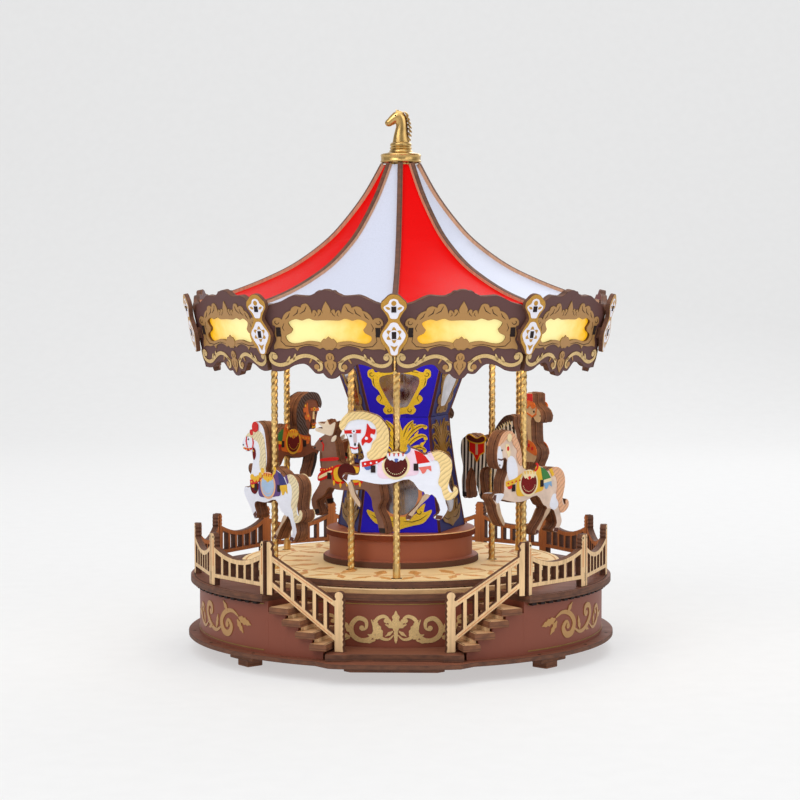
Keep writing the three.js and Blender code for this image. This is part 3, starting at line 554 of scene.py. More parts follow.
def glow(name, inner, outer):
    """A lit diffuser: warm at one end of its window and pale at the other."""
    finish = Finish(name, 0.35)
    along = finish.add("ShaderNodeSeparateXYZ", {"Vector": finish.cut}, output=0)
    cloud = finish.noise(0.22, 3.0, source=finish.cut)
    place = finish.maths("ADD", finish.spread(along, 1.0, 0.0, -17.0, 19.0),
                         finish.spread(cloud, -0.08, 0.08))
    tone = finish.ramp(place, (0.02, inner), (0.45, tuple((a + 2 * b) / 3 for a, b in zip(inner, outer))),
                       (0.7, outer))
    finish.wire("Base Color", finish.mix(0.45, tone, (0.0, 0.0, 0.0)))
    finish.wire("Emission Color", tone)
    finish.shader.inputs["Emission Strength"].default_value = 0.62
    return finish.emboss(cloud, 0.05)


def striped(name, pale, dark):
    """Zebra stripes across the sheet's drawing."""
    finish = Finish(name, 0.45, Specular_IOR_Level=0.3)
    waves = finish.add("ShaderNodeTexWave", {"Vector": finish.cut, "Scale": 0.115, "Distortion": 6.0,
                                             "Detail": 1.0, "Detail Scale": 0.16}, output=1)
    brush = finish.noise(0.9, 3.0, source=finish.cut)
    finish.wire("Base Color", finish.ramp(waves, (0.46, dark), (0.54, pale)))
    return finish.emboss(brush, 0.05)


def finish_named(name):
    """The material of that name, wired when it is first asked for."""
    if name in bpy.data.materials:
        return bpy.data.materials[name]
    kind, colour, *values = RECIPES[name]
    if isinstance(colour, str):
        colour = tuple(getattr(bpy.context.scene.carousel_look, colour))
    return kind(name, colour, *values)


TAN, SCORCH, SCORCH_PALE = srgb(214, 140, 90), srgb(66, 38, 26), srgb(112, 68, 44)

RECIPES = {
    "mauve_ply": (wood, "dark_ply", "X"), "mauve_ply_upright": (wood, "dark_ply", "Z"),
    "light_ply": (wood, "light_ply", "X"), "light_ply_upright": (wood, "light_ply", "Z"),
    "tan_ply": (wood, TAN, "Z"), "tread_ply": (wood, srgb(214, 168, 122), "X"),
    "rib_ply": (wood, srgb(205, 156, 124), "Z"), "ceiling_ply": (wood, srgb(214, 160, 100), "X"),
    "burnt_edge": (burnt, SCORCH, SCORCH_PALE),
    "layered_edge": (burnt, srgb(84, 48, 30), srgb(134, 84, 52)),
    # near-black painted shade, put on slots, holes, eyes and seams where only shade would be
    "slot_dark": (paint, srgb(38, 24, 22), 0.7),
    "leather_card": (leather, "leather"), "plinth_card": (leather, srgb(130, 50, 30)),
    # the pale rim finish below is a painted highlight along the top edge of the plinth's cap
    "rim_card": (leather, srgb(118, 56, 34)), "rim_light": (paint, srgb(236, 190, 140), 0.5),
    "board_ply": (wood, "board_ply", "X", 0.6, 0.85),
    "old_gold": (foil, "foil_gold"), "pale_gold": (foil, srgb(226, 192, 132)),
    # the tower's gold: brighter on the front face, darker on the side faces; partly a different print, partly
    # painted light and shade
    "dark_gold": (foil, srgb(150, 116, 56)), "sun_gold": (foil, srgb(240, 204, 44), 0.05, 0.5),
    "side_gold": (foil, srgb(150, 112, 34), 0.2, 0.5), "engraved": (paint, srgb(60, 40, 24), 0.7),
    "ochre": (foil, srgb(200, 148, 58), 0.25), "badge_white": (paint, srgb(238, 236, 246), 0.4, 0.04),
    # the tower's front face is a brighter blue than its navy side faces: partly a different print, partly
    # painted light and shade
    "tower_blue": (print_card, "tower_front"), "tower_navy": (print_card, "tower_side"),
    "tower_seam": (paint, srgb(70, 22, 30), 0.6), "mirror": (metal, srgb(190, 184, 188), 0.05),
    "roof_red": (film, "roof_dark"), "roof_white": (film, "roof_pale"),
    "window_warm": (glow, srgb(253, 190, 20), srgb(255, 238, 160)),
    "marquetry": (wood, srgb(255, 234, 178), "X"), "marquetry_dark": (wood, srgb(216, 158, 90), "Y"),
    "twisted_brass": (metal, srgb(244, 204, 132), 0.26, (900, 900, 240)),
    "polished_gold": (metal, srgb(216, 178, 112), 0.2), "brass": (metal, srgb(206, 168, 92), 0.3),
    "steel": (metal, srgb(180, 184, 190), 0.28), "black_plastic": (moulded, srgb(26, 26, 28)),
    "lamp_card": (moulded, srgb(30, 104, 58)), "cam_ply": (wood, srgb(190, 150, 104), "X"),
}

# ------------------------------------------------------------------ base, drum and deck
def make_base():
    """The base plate, its four feet and the trim under the front step."""
    radius, bulge, half = 102.33, 104.5, 29
    side = math.degrees(math.asin(35 / radius))
    front = [(-half, -bulge + 2), (-half + 5, -bulge + 0.8), (-12, -bulge), (12, -bulge),
             (half - 5, -bulge + 0.8), (half, -bulge + 2)]
    plate = Piece("base_sheet")
    plate.sheet(front + arc(radius, side, 360 - side), 2, "mauve_ply", "burnt_edge", flat(9.2),
                holes=[disc(0, 0, 4)], bevel=0.15)
    for angle in range(40, 321, 20):
        x, y = polar(99.6, angle)
        plate.sheet(disc(x, y, 0.8), 0.3, "engraved", place=flat(9.2), rise=0.06)
    plate.done("root", "base_plate", "dark_ply")
    for angle in (50, 130, -130, -50):
        name = f"{'front' if abs(angle) < 90 else 'back'}_{'right' if angle > 0 else 'left'}"
        foot = Piece(f"foot_blocks_{name}")
        place = turn(angle) @ shift(0, -88, 0)
        pad = curved([(-9, -5), (-9, -5), (9, -5), (9, -5), (6, 5), (6, 5), (-6, 5), (-6, 5)])
        foot.sheet(pad, 4.2, "mauve_ply", "layered_edge", place @ flat(7.2), bevel=0.2)
        foot.sheet(slot_hole(0, 0, 8, 8), 3.05, "mauve_ply", "layered_edge", place @ flat(3.05), bevel=0.25)
        # a dark disc of painted shade for the hole in the middle of the foot
        foot.sheet(disc(0, 0, 2.2), 0.3, "slot_dark", place=place @ flat(7.2), rise=-0.02)
        foot.done("root", f"foot_{name}", "dark_ply")
    trim = Piece("step_trim_sheet")
    outline = [(-22, -100), (-19, -102.8), (19, -102.8), (22, -100), (22, -96), (-22, -96)]
    trim.sheet(outline, 1.5, "mauve_ply", "burnt_edge", flat(7.2), bevel=0.12)
    trim.done("root", "step_trim", "dark_ply")


def bay_ornament():
    """The foil centre-piece of the bay: palmette, drop, leaves and scrolls, right half first."""
    right = [
        leaf(0.9, 21.4, 5.4, 2.4, 50, 3), leaf(0.6, 21, 4.6, 1.8, 20, 2),
        leaf(1.2, 19.6, 4.4, 1.6, -35, 2), leaf(6, 17, 8.6, 3.2, 62, 4), leaf(7.5, 16, 5.6, 2.2, 20, 3),
        leaf(9, 15.4, 6, 1.8, -12, 2), leaf(19.6, 18, 7.8, 3, 48, 3), leaf(20.5, 16.6, 7.4, 2.2, 8, 3),
        leaf(25, 17.4, 7, 2.4, 60, 3), leaf(27.5, 16, 8, 2, 16, 3),
        stroke(curved([(1, 17.8), (3.4, 15.8), (6.8, 16.6), (9.4, 20), (8.8, 24.4), (5.6, 26.2), (3.4, 24.8),
                       (4.4, 23)], 5, False), 0.4, 1.7, 0.5),
        disc(4.5, 24.2, 0.9),
        stroke(curved([(11, 24.6), (9.6, 19.6), (12, 16), (16, 15.2), (19.6, 17.4), (20.2, 21.6),
                       (17.2, 25), (13.6, 24), (13.4, 20.8), (15.6, 19.6)], 5, False), 0.4, 2.2, 0.5),
        disc(15.4, 20.7, 1.1),
        stroke(curved([(21, 16), (26, 14.8), (31, 17), (33.5, 21.6), (31.6, 25.6), (28.4, 25),
                       (28.8, 22.4)], 5, False), 0.5, 1.8, 0.5),
        disc(29.3, 23.2, 0.9),
    ]
    middle = [leaf(0, 20.6, 8.2, 4.2, 90, 3), leaf(0, 20.4, 6.4, 2.6, -90, 1), disc(0, 20.6, 1.3)]
    return right + [mirror(s) for s in right] + middle


def side_ornament():
    """The long S-scroll on the drum's side, drawn from the stairs outwards."""
    return [
        stroke(curved([(-21, 24), (-16, 26), (-10, 24.6), (-6.4, 20.4), (-8.4, 16), (-13, 15.4),
                       (-15.4, 18.6), (-13, 21.4), (-10.8, 20)], 5, False), 0.5, 3.0, 0.6),
        disc(-11.6, 19.2, 1.3), leaf(-21, 23.6, 9.5, 3.8, 196, 4), leaf(-20, 22.6, 7.5, 3, 232, 3),
        leaf(-12, 25.4, 6, 2.4, 48, 2),
        stroke(curved([(-7, 18), (-1, 15.2), (6, 17), (10.6, 21.4), (9.4, 25.8), (5.2, 26), (4.2, 22.8),
                       (6.4, 21.6)], 5, False), 0.5, 2.6, 0.6),
        disc(6.3, 22.9, 1.1), leaf(-1, 16, 7, 2.6, 104, 3), leaf(4, 16.6, 5, 2, -20, 2),
        stroke(curved([(8.6, 18), (14, 15), (20, 16.6), (23, 20.6), (21, 24.2), (17.6, 23.2),
                       (18.4, 20.6)], 5, False), 0.4, 2.0, 0.5),
        disc(18.8, 21.6, 0.9), leaf(15, 16, 6, 2.2, 78, 2), leaf(22.6, 18.6, 6.4, 2.4, 20, 3),
    ]


def tread_top(i):
    return DECK_TOP - STEP_RISE * (i + 1)


def make_drum():
    """The leather-card drum with its bay, the stepped stringers and the foil ornaments."""
    wall = Piece("drum_card")
    skin = math.degrees(DRUM_WALL / BAY_RADIUS)
    inner_radius, inner_bay = DRUM_RADIUS - DRUM_WALL, BAY_RADIUS - DRUM_WALL
    outline = arc(DRUM_RADIUS, BAY_HALF, 360 - BAY_HALF) + arc(BAY_RADIUS, -BAY_HALF, BAY_HALF)
    inside = (arc(inner_radius, BAY_HALF + skin, 360 - BAY_HALF - skin)
              + arc(inner_bay, -BAY_HALF - skin, BAY_HALF + skin))
    wall.sheet(outline, DRUM_TOP - DRUM_LOW, "leather_card", "leather_card", flat(DRUM_TOP), holes=[inside])
    ends = [BAY_HALF + 1] + [end + 0.25 for _, end in TREADS[1:]] + [19]
    for i in range(len(TREADS)):
        top = tread_top(i) - PLY - 0.05
        for side in (-1, 1):
            sector = (arc(DRUM_RADIUS, side * ends[i + 1], side * ends[i])
                      + arc(inner_radius, side * ends[i], side * ends[i + 1]))
            wall.sheet(sector, top - DRUM_LOW, "layered_edge", "leather_card", flat(top))
    wall.done("root", "drum_wall", "leather_card")
    trim = Piece("drum_foil")
    for shape in bay_ornament():
        trim.sheet(shape, 0.35, "pale_gold", rise=0.3, warp=around(BAY_RADIUS))
    sides = ((60, False), (-60, True), (114, False), (-114, True), (158, False), (-158, True))
    for angle, flip in sides:
        for shape in side_ornament():
            drawn = mirror(shape) if flip else shape
            trim.sheet(drawn, 0.35, "old_gold", rise=0.3, warp=around(DRUM_RADIUS, angle))
    for z in (10.6, 31.4):
        line = dict(thick=0.45, face="dark_gold", place=flat(z + 0.45))
        band = arc(DRUM_RADIUS + 0.25, BAY_HALF + 1.4, 358.6 - BAY_HALF, 2)
        back = arc(DRUM_RADIUS - 0.1, 358.6 - BAY_HALF, BAY_HALF + 1.4, 2)
        trim.sheet(band + back, **line)
        bay = arc(BAY_RADIUS + 0.25, -BAY_HALF + 1, BAY_HALF - 1, 2)
        trim.sheet(bay + arc(BAY_RADIUS - 0.1, BAY_HALF - 1, -BAY_HALF + 1, 2), **line)
    trim.done("root", "drum_wall", "old_gold")


def make_deck():
    """The deck sheet with its toothed underside, the track ring and the landing."""
    deck = Piece("deck_sheet")
    outline = arc(DECK_RADIUS, BAY_HALF, 360 - BAY_HALF, 2) + arc(BAY_RADIUS + 1.4, -BAY_HALF, BAY_HALF, 2)
    deck.sheet(outline, PLY, "mauve_ply", "burnt_edge", flat(DECK_TOP), holes=[arc(72.5, 0, 356, 4)],
               bevel=0.2)
    # each tooth here is a dark block of painted shade, for the notches under the deck's rim
    for i in range(96):
        angle = BAY_HALF + 2.4 + i * 3.0
        if angle < 357 - BAY_HALF:
            tooth = slot_hole(0, 0, 2.6, 1.5)
            deck.sheet(tooth, 2.4, "slot_dark", "slot_dark", facing(angle, 99.4, DRUM_TOP - 0.75))
    groove = arc(DECK_RADIUS - 1.6, BAY_HALF + 1, 359 - BAY_HALF, 2)
    deck.sheet(groove + arc(DECK_RADIUS - 2.1, 359 - BAY_HALF, BAY_HALF + 1, 2), 0.2, "engraved",
               place=flat(DECK_TOP), rise=0.05)
    deck.done("root", "deck_plate", "dark_ply")
    track = Piece("track_hoop")
    track.turned([(72.5, 36), (77.5, 36), (77.8, 36.3), (77.8, 38.1), (77.5, 38.4), (72.5, 38.4)],
                 lambda c, n: "light_ply" if abs(n.z) > 0.5 else "cam_ply", 96)
    for i in range(60):
        x, y = polar(75.6, 6 * i)
        track.sheet(disc(x, y, 0.7, sides=10), 0.2, "engraved", place=flat(38.4), rise=0.05)
    track.done("root", "track_ring", "light_ply")
    landing = Piece("landing_sheet")
    half, front = LANDING_HALF, LANDING_FRONT
    reach = math.degrees(math.asin(half / (BAY_RADIUS + 0.3)))
    edge = [(-half, -front - 1), (-half + 2, -front - 2), (-half + 9, -front - 2), (-half + 12, -front),
            (half - 12, -front), (half - 9, -front - 2), (half - 2, -front - 2), (half, -front - 1)]
    landing.sheet(edge + arc(BAY_RADIUS + 0.3, reach, -reach), 3, "mauve_ply", "burnt_edge",
                  flat(LANDING_TOP), bevel=0.18)
    landing.done("root", "landing_plate", "dark_ply")


# ------------------------------------------------------------------ stairs, rails and fence
def make_stairs(side, name):
    """One flight of four treads with its riser blocks."""
    stair = Piece(f"stair_treads_{name}")

    def sector(inner, outer, start, end):
        return arc(outer, side * start, side * end, 1.5) + arc(inner, side * end, side * start, 1.5)

    for i, (start, end) in enumerate(TREADS):
        top = flat(tread_top(i))
        stair.sheet(sector(STEP_INNER, STEP_OUTER, start, end), PLY, "tread_ply", "layered_edge", top,
                    bevel=0.25)
        nose = sector(STEP_INNER + 1.2, STEP_OUTER - 1.2, start + 0.5, start + 0.75)
        stair.sheet(nose, 0.2, "engraved", place=top, rise=0.05)
    for i in range(1, len(TREADS)):
        start, end = TREADS[i - 1][0] + 0.3, TREADS[i][1] - 0.2
        low, high = tread_top(i) - 0.2, tread_top(i - 1) - PLY + 0.2
        stair.sheet(sector(80, 96, start, end), high - low, "light_ply", "light_ply_upright", flat(high))
    stair.done("root", f"stair_{name}", "light_ply")


def make_handrail(side, name):
    """The slanting rail with its square openings, end post, newel and knob."""
    post, newel = polar(FENCE_RING, BAY_HALF), polar(92, 15.3)
    run = math.dist(post, newel)
    near, far, knob, foot = run - 2.15, run + 2.15, LANDING_TOP + 27, LANDING_TOP + 0.1
    first, low, low_end, top, top_end, deep = 3.3, DECK_TOP + 3.4, 17.2, DECK_TOP + 17.6, 35.2, 2.8

    def slope(start, end, x):
        return start + (end - start) * (x - first) / (near - first)

    outer = [(far - (0.4 if k % 2 else 0.0), knob - 5 - 1.15 * k) for k in range(18)]
    head = [(run + 2.05 * math.cos(a), knob - 1.95 + 1.95 * math.sin(a))
            for a in [math.radians(215 - 250 * k / 18) for k in range(19)]]
    outline = [(0.6, DECK_TOP + 0.1), (0.6, 60), (2.2, 60), (first, 58.4), (2.6, 56.8), (first, 55.6),
               (first, top), (near, top_end), (near + 0.6, knob - 3.7), *head, (far - 0.6, knob - 3.7),
               (far, knob - 4.4), *outer, (far, foot), (near, foot), (near, low_end), (first, low),
               (first, DECK_TOP + 0.1)]
    bays, stile = 6, 1.8
    pitch = (near - first + 1.6) / bays
    holes = []
    for i in range(bays):
        a = first + 0.2 + pitch * i
        b = a + pitch - stile
        holes.append([(a, slope(low, low_end, a) + deep), (b, slope(low, low_end, b) + deep),
                      (b, slope(top, top_end, b) - deep), (a, slope(top, top_end, a) - deep)])
    along = math.degrees(math.atan2(newel[1] - post[1], newel[0] - post[0]))
    place = shift(*post, 0) @ turn(along) @ UPRIGHT @ flat(PLY / 2)
    if side < 0:
        place = FLIPPED @ place
    rail = Piece(f"handrail_sheet_{name}")
    rail.sheet(outline, PLY, "light_ply_upright", "burnt_edge", place, holes=holes, bevel=0.14)
    for rise in (0.06, -PLY + 0.14):
        for line_low, line_high in ((low + 1.2, low_end + 1.2), (top - 1.2, top_end - 1.2)):
            path = [(first + 1, slope(line_low, line_high, first + 1)),
                    (near - 1, slope(line_low, line_high, near - 1))]
            rail.sheet(stroke(path, 0.3, 0.3, 0.3), 0.2, "tan_ply", place=place, rise=rise)
    bmesh.ops.recalc_face_normals(rail.bm, faces=rail.bm.faces[:])
    rail.done("root", f"handrail_{name}", "light_ply")


def fence_panel(left_half, right_half):
    """The outline and openings of one fence panel: dipping rail, notched posts, square gaps."""
    floor = DECK_TOP + 0.1
    inner = FENCE_RING * math.sin(math.radians(FENCE_PITCH / 2)) - 2.9
    low, crest, head = floor + FENCE_SAG, floor + FENCE_HEIGHT - 6.5, floor + FENCE_HEIGHT

    def rail_top(x):
        return low + (crest - low) * (x / inner) ** 2

    notches = 6
    pitch = (head - 1.2 - crest) / notches
    edge = [(inner + (0.0 if k % 2 else 0.5), crest + 0.3 + pitch * k) for k in range(notches + 1)]
    steps = 10
    hollow = [(-inner + 2 * inner * i / steps, rail_top(-inner + 2 * inner * i / steps))
              for i in range(steps + 1)]
    outline = [(-left_half, floor), (-inner, floor), (-inner, floor + FENCE_RAIL - 2),
               (inner, floor + FENCE_RAIL - 2), (inner, floor), (right_half, floor), (right_half, head),
               (inner + 1, head), *edge[::-1], *hollow[::-1], *mirror(edge[::-1]), (-inner - 1, head),
               (-left_half, head)]
    bays = 6
    pitch = 2 * inner / bays
    gaps = []
    for i in range(bays):
        start = -inner + pitch * i + (0.92 if i else 0.5)
        end = -inner + pitch * (i + 1) - (0.92 if i < bays - 1 else 0.5)
        gaps.append([(start, floor + FENCE_RAIL), (end, floor + FENCE_RAIL),
                     (end, rail_top(end) - 2.3), (start, rail_top(start) - 2.3)])
    return outline, gaps


def make_fence(name, first):
    """Three fence panels of one run, with capped posts where they meet."""
    half = FENCE_RING * math.sin(math.radians(FENCE_PITCH / 2))
    apothem = FENCE_RING * math.cos(math.radians(FENCE_PITCH / 2))
    fence = Piece(f"fence_sheets_{name}")
    for i in range(3):
        outline, gaps = fence_panel(half + 0.2 if i else half - 0.55, half + 0.2 if i < 2 else half - 0.55)
        place = facing(first + FENCE_PITCH * (i + 0.5), apothem, 0) @ flat(PLY / 2)
        fence.sheet(outline, PLY, "light_ply_upright", "burnt_edge", place, holes=gaps, bevel=0.14,
                    back="tan_ply")
        for x in (-half + 1.6, half - 1.6):
            fence.sheet(slot_hole(x, DECK_TOP + 15, 0.5, 12), 0.2, "tan_ply", place=place, rise=0.06)
            fence.sheet(disc(x, DECK_TOP + 22.4, 0.5, sides=10), 0.2, "engraved", place=place, rise=0.06)
    for i in range(4):
        angle = first + FENCE_PITCH * i
        if i in (1, 2):
            # dark slots of painted shade on the posts where the panels meet
            fence.sheet(slot_hole(0, DECK_TOP + 4.4, 1.6, 4), 0.3, "slot_dark",
                        place=facing(angle, FENCE_RING + 1.35, 0), rise=0.05)
    fence.done("root", f"fence_{name}", "light_ply")


# ------------------------------------------------------------------ movement
INNER_NODES = {"cam_ring": "cam_ply", "movement_plate": "brass", "spring_barrel": "brass",
               "pin_cylinder": "brass", "comb": "steel", "drive_shaft": "steel",
               "lamp_board": "lamp_card", "battery_holder": "black_plastic"}


def make_movement():
    """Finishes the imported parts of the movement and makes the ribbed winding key."""
    for node, finish in INNER_NODES.items():
        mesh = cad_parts[node].data
        mesh.materials.clear()
        mesh.materials.append(finish_named(finish))
    key = Piece("winding_knob")
    grip = [(13 + 0.25 * math.cos(32 * a), a) for a in [2 * math.pi * i / 128 for i in range(128)]]
    outline = [(r * math.cos(a), r * math.sin(a)) for r, a in grip]
    key.sheet(outline, 3.6, "black_plastic", place=flat(5.6), bevel=0.3)
    key.turned([(0, 5.5), (4.6, 5.5), (4, 6.2), (2, 6.6), (2, 12.9), (0, 12.9)], "steel", 32)
    for bearing in (0, 180):
        key.sheet(leaf(4, 0, 7, 2.4, bearing), 0.4, "steel", place=flat(1.95) @ UPSIDE_DOWN,
                  rise=-0.1)
    key.done("key", "winding_key", "black_plastic")


# ------------------------------------------------------------------ floor, plinth and tower
def pole_holes():
    return [disc(*polar(ring, angle), 2.4, sides=12) for _, angle, ring, *_ in RIDERS]


def make_floor():
    """The turning floor with its inlaid leaves and lines."""
    floor = Piece("floor_sheet")
    floor.sheet(arc(77, 0, 357, 3), 3, "marquetry", "burnt_edge", flat(41.8),
                holes=[disc(0, 0, 3)] + pole_holes(),
                bevel=0.2)
    for i in range(20):
        place = flat(41.8) @ turn(18 * i + 9)
        floor.sheet([(x, y - 43) for x, y in leaf(0, 0, 14.5, 6.4, -90, 2)], 0.2, "marquetry_dark",
                    place=place, rise=0.08)
        for lean in (-1, 1):
            floor.sheet([(x + lean * 2, y - 62) for x, y in leaf(0, 0, 11.5, 4.2, -90 + 38 * lean, 2)], 0.2,
                        "marquetry_dark", place=place, rise=0.1)
        floor.sheet(disc(0, -61, 1.3, sides=16), 0.2, "tan_ply", place=place, rise=0.12)
    for radius in (58.6, 75.2):
        ring = arc(radius, 0, 360, 4)[:-1]
        floor.sheet(ring, 0.2, "marquetry_dark", place=flat(41.8), rise=0.06,
                    holes=[arc(radius - 0.7, 0, 360, 4)[:-1]])
    floor.done("carousel", "floor_disc", "marquetry")


def make_plinth():
    """The drum that the tower stands on: flange, panelled body and moulded cap, with a pale painted highlight
    along the top edge of the cap's rim.
    """
    plinth = Piece("plinth_turning")
    plinth.turned([(3, 41.85), (37.5, 41.85), (37.5, 44.2), (37.1, 44.65), (34.9, 44.65), (34.5, 45.1),
                   (34.5, 54.1), (34.9, 54.6), (36, 54.6), (36, 57.2), (35.6, 57.6), (3, 57.6)],
                  # the pale ring on the cap's top edge is a painted highlight
                  lambda c, n: ("rim_light" if c.z > 57.2 and 35 < c.xy.length else
                                "rim_card" if c.z > 54.5 and c.xy.length > 35.8 else
                                "layered_edge" if c.z < 44.7 and c.xy.length > 37 else "plinth_card"), 96)
    plinth.done("carousel", "plinth", "plinth_card")


def upper_frame():
    """The lyre frame of the tower's upper mirror: its outline and its mirror's outline."""
    outer = curved([(0, 112.9), (3.4, 113.4), (6.4, 113.2), (7.8, 115.2), (6.8, 117.2), (9.2, 118.2),
                    (11, 120.4), (9.8, 122.4), (8.8, 122.2), (10, 124.6), (12.4, 127), (13.2, 129.8),
                    (14.8, 131.4), (14.6, 134),
                    (12.4, 134.8), (11, 133.2), (7, 134.6), (3.4, 136.6), (0, 138.2)], 4, False)
    glass = curved([(0, 116), (3.6, 116.6), (5.6, 119.6), (7.6, 123.4), (9.4, 127.4), (9.4, 130.6),
                    (6.6, 132),
                    (2.6, 132.8), (0, 134)], 4, False)
    return both(outer), both(glass)


def lower_frame():
    """The oval frame of the lower mirror with its bottom cradle."""
    glass = disc(0, 76, 9.2, 10.6, 40)
    outer = disc(0, 76, 10.8, 12.2, 40)
    cradle = both(curved([(0, 58.9), (3, 60), (7, 61), (11.4, 62.2), (14.9, 66.4), (15, 68.4), (11.6, 67.2),
                          (12.2, 71.2), (9.6, 69.4), (8, 66.6), (4.4, 65.2), (0, 65)], 4, False))
    return outer, glass, cradle


def make_tower():
    """Five printed faces in two lengths, with seams, foil frames and mirrors. The face turned to the front is
    a brighter blue with brighter gold and the other four are darker: partly a different print, partly painted
    light and shade.
    """
    share = math.cos(math.pi / 5)
    thick = bpy.context.scene.carousel_look.foil_thickness / MM
    for part, rib in (("lower", TOWER_LOWER), ("upper", TOWER_UPPER)):
        card = Piece(f"tower_card_{part}")
        inside = [(r - 2.5, z) for r, z in rib][::-1]

        # the face turned to the front takes the brighter blue, partly painted light; the other four take the
        # navy, partly painted shade
        def face_finish(c, n):
            angle = math.degrees(math.atan2(c.x, -c.y)) % 360
            return "tower_blue" if min(angle, 360 - angle) < 36 else "tower_navy"

        card.turned([*rib, *inside], face_finish, 5, start=36)
        for i in range(5):
            for (r0, z0), (r1, z1) in zip(rib, rib[1:]):
                lean = math.degrees(math.atan2(r1 - r0, z1 - z0))
                length = math.hypot(r1 - r0, z1 - z0)
                place = facing(36 + 72 * i, (r0 + r1) / 2, (z0 + z1) / 2, lean)
                card.sheet(slot_hole(0, 0, 1.3, length + 0.2), 0.9, "tower_seam", "layered_edge", place,
                           rise=0.12)
        card.done("carousel", f"tower_{part}", "tower_print")
        foil_piece = Piece(f"tower_foil_{part}")
        for i in range(5):
            lay = along_wall(rib, share, 72 * i)
            # brighter gold on the front face, partly painted light; darker gold on the side faces, partly
            # painted shade
            gold = "side_gold" if i else "sun_gold"

            def put(shape, finish, rise, holes=(), cuts=6):
                foil_piece.sheet(shape, thick, finish, rise=rise, holes=holes, warp=lay, cuts=cuts)

            if part == "upper":
                outer, glass = upper_frame()
                put(outer, gold, 0.42, [inset(glass, 0.2)], 5)
                put(glass, "mirror", 0.25, (), 3)
                for side in (1, -1):
                    marks = [stroke(spiral(13, 132.4, 1.3, 200, 500, 0.4), 0.15, 0.35, 0.2),
                             stroke(spiral(5, 115.1, 1.3, 120, 420, 0.4), 0.15, 0.35, 0.2),
                             stroke([(9.2, 119.4), (8.3, 121), (9.6, 123.4)], 0.2, 0.35, 0.15),
                             stroke([(11.5, 126.4), (12.2, 128.6), (12.2, 130.6)], 0.15, 0.4, 0.15),
                             stroke([(3, 134.6), (6, 133.6), (9, 133)], 0.15, 0.35, 0.15)]
                    for mark in marks:
                        put(mark if side > 0 else mirror(mark), "engraved", 0.5, cuts=0)
            else:
                outer, glass, cradle = lower_frame()
                put(outer, "tan_ply" if not i else gold, 0.35, [inset(glass, 0.2)], 5)
                put(glass, "mirror", 0.2, (), 4)
                put(cradle, gold, 0.5, (), 3)
                for side in (1, -1):
                    blown = [((1.5, 93.5), (3.5, 98), (6.8, 101.4), (10.4, 103), (12.9, 102.4)),
                             ((1.4, 95.5), (3, 101), (5.8, 105), (9.4, 107.4), (12.6, 107.6)),
                             ((0.9, 97), (1.8, 102.4), (3.6, 107), (6.6, 110.2)),
                             ((1.9, 92.6), (5.2, 95.8), (9, 97.6), (12.4, 96.6)),
                             ((1.9, 91), (5, 92.6), (8.4, 92.6), (11, 90.8))]
                    leaves = [stroke(curved(path, 4, False), 0.5, 2.5, 0.4) for path in blown]
                    leaves += [leaf(path[2][0], path[2][1], 4.6, 1.7, bearing, 2)
                               for path, bearing in zip(blown, (62, 84, 20, 40, -60))]
                    leaves += [disc(x, z, 0.95, sides=16)
                               for x, z in ((12.3, 101.7), (12.2, 107), (11.9, 96))]
                    leaves.append(disc(9.6, 67.4, 1.5, sides=16))
                    marks = [stroke(spiral(9.6, 67.4, 1.9, 90, 400, 0.5), 0.15, 0.4, 0.2),
                             stroke([(2, 63), (6, 62.6), (10, 63.8), (13, 66)], 0.15, 0.4, 0.15)]
                    marks += [stroke(curved(path[1:], 4, False), 0.12, 0.32, 0.1) for path in blown]
                    for shape in leaves:
                        put(shape if side > 0 else mirror(shape), gold, 0.45, cuts=0)
                    for mark in marks:
                        put(mark if side > 0 else mirror(mark), "engraved", 0.6, cuts=0)
                put(leaf(0, 92.6, 17, 4.4, 90, 4), gold, 0.5, (), 4)
        foil_piece.done("carousel", f"tower_{part}", "tower_print")


# ------------------------------------------------------------------ ceiling and canopy
def make_ceiling():
    """The ten-sided ceiling that the poles pass through."""
    ceiling = Piece("ceiling_sheet")
    corners = [polar(93.5, 36 * i) for i in range(SIDES)]
    ceiling.sheet(corners, 3, "ceiling_ply", "burnt_edge", flat(147), holes=[disc(0, 0, 3)] + pole_holes(),
                  bevel=0.2)
    for _, angle, ring, *_ in RIDERS:
        x, y = polar(ring, angle)
        under = flat(144) @ UPSIDE_DOWN
        ceiling.sheet(disc(x, -y, 4.2), 0.5, "marquetry_dark", "burnt_edge", under,
                      holes=[disc(x, -y, 2.5, sides=12)], rise=0.4)
    ceiling.done("carousel", "ceiling_plate", "light_ply")


def roof_curve(offset=0.0, steps=5):
    """The rib's sweep from eave to crown, moved outwards by an offset."""
    line = curved(list(ROOF_RIB), steps, False)
    found = []
    for i, (r, z) in enumerate(line):
        (ar, az), (br, bz) = line[max(i - 1, 0)], line[min(i + 1, len(line) - 1)]
        size = math.hypot(br - ar, bz - az)
        found.append((r + (bz - az) / size * offset, z - (br - ar) / size * offset))
    return found


def make_roof():
    """The concave tent: red and white film panels between ten cut ribs."""
    film_piece = Piece("roof_panels")
    outer, inner = roof_curve(-0.4), roof_curve(-1.4)

    def panel_finish(c, n):
        sector = math.floor((math.degrees(math.atan2(c.x, -c.y)) % 360) / 36)
        return "roof_red" if sector % 2 == 0 else "roof_white"

    film_piece.turned([*outer, *inner[::-1]], panel_finish, SIDES)
    film_piece.done("carousel", "canopy_roof", "roof_film", smooth=24)
    ribs = Piece("roof_ribs")
    crest, keel = roof_curve(1.0), roof_curve(-3.2)
    crest = [(min(r, 98.6), z) for r, z in crest]
    for i in range(SIDES):
        place = turn(36 * i - 90) @ UPRIGHT @ flat(1.25)
        ribs.sheet(crest + keel[::-1], 2.5, "rib_ply", "burnt_edge", place, bevel=0.15)
    ribs.done("carousel", "canopy_roof", "light_ply")


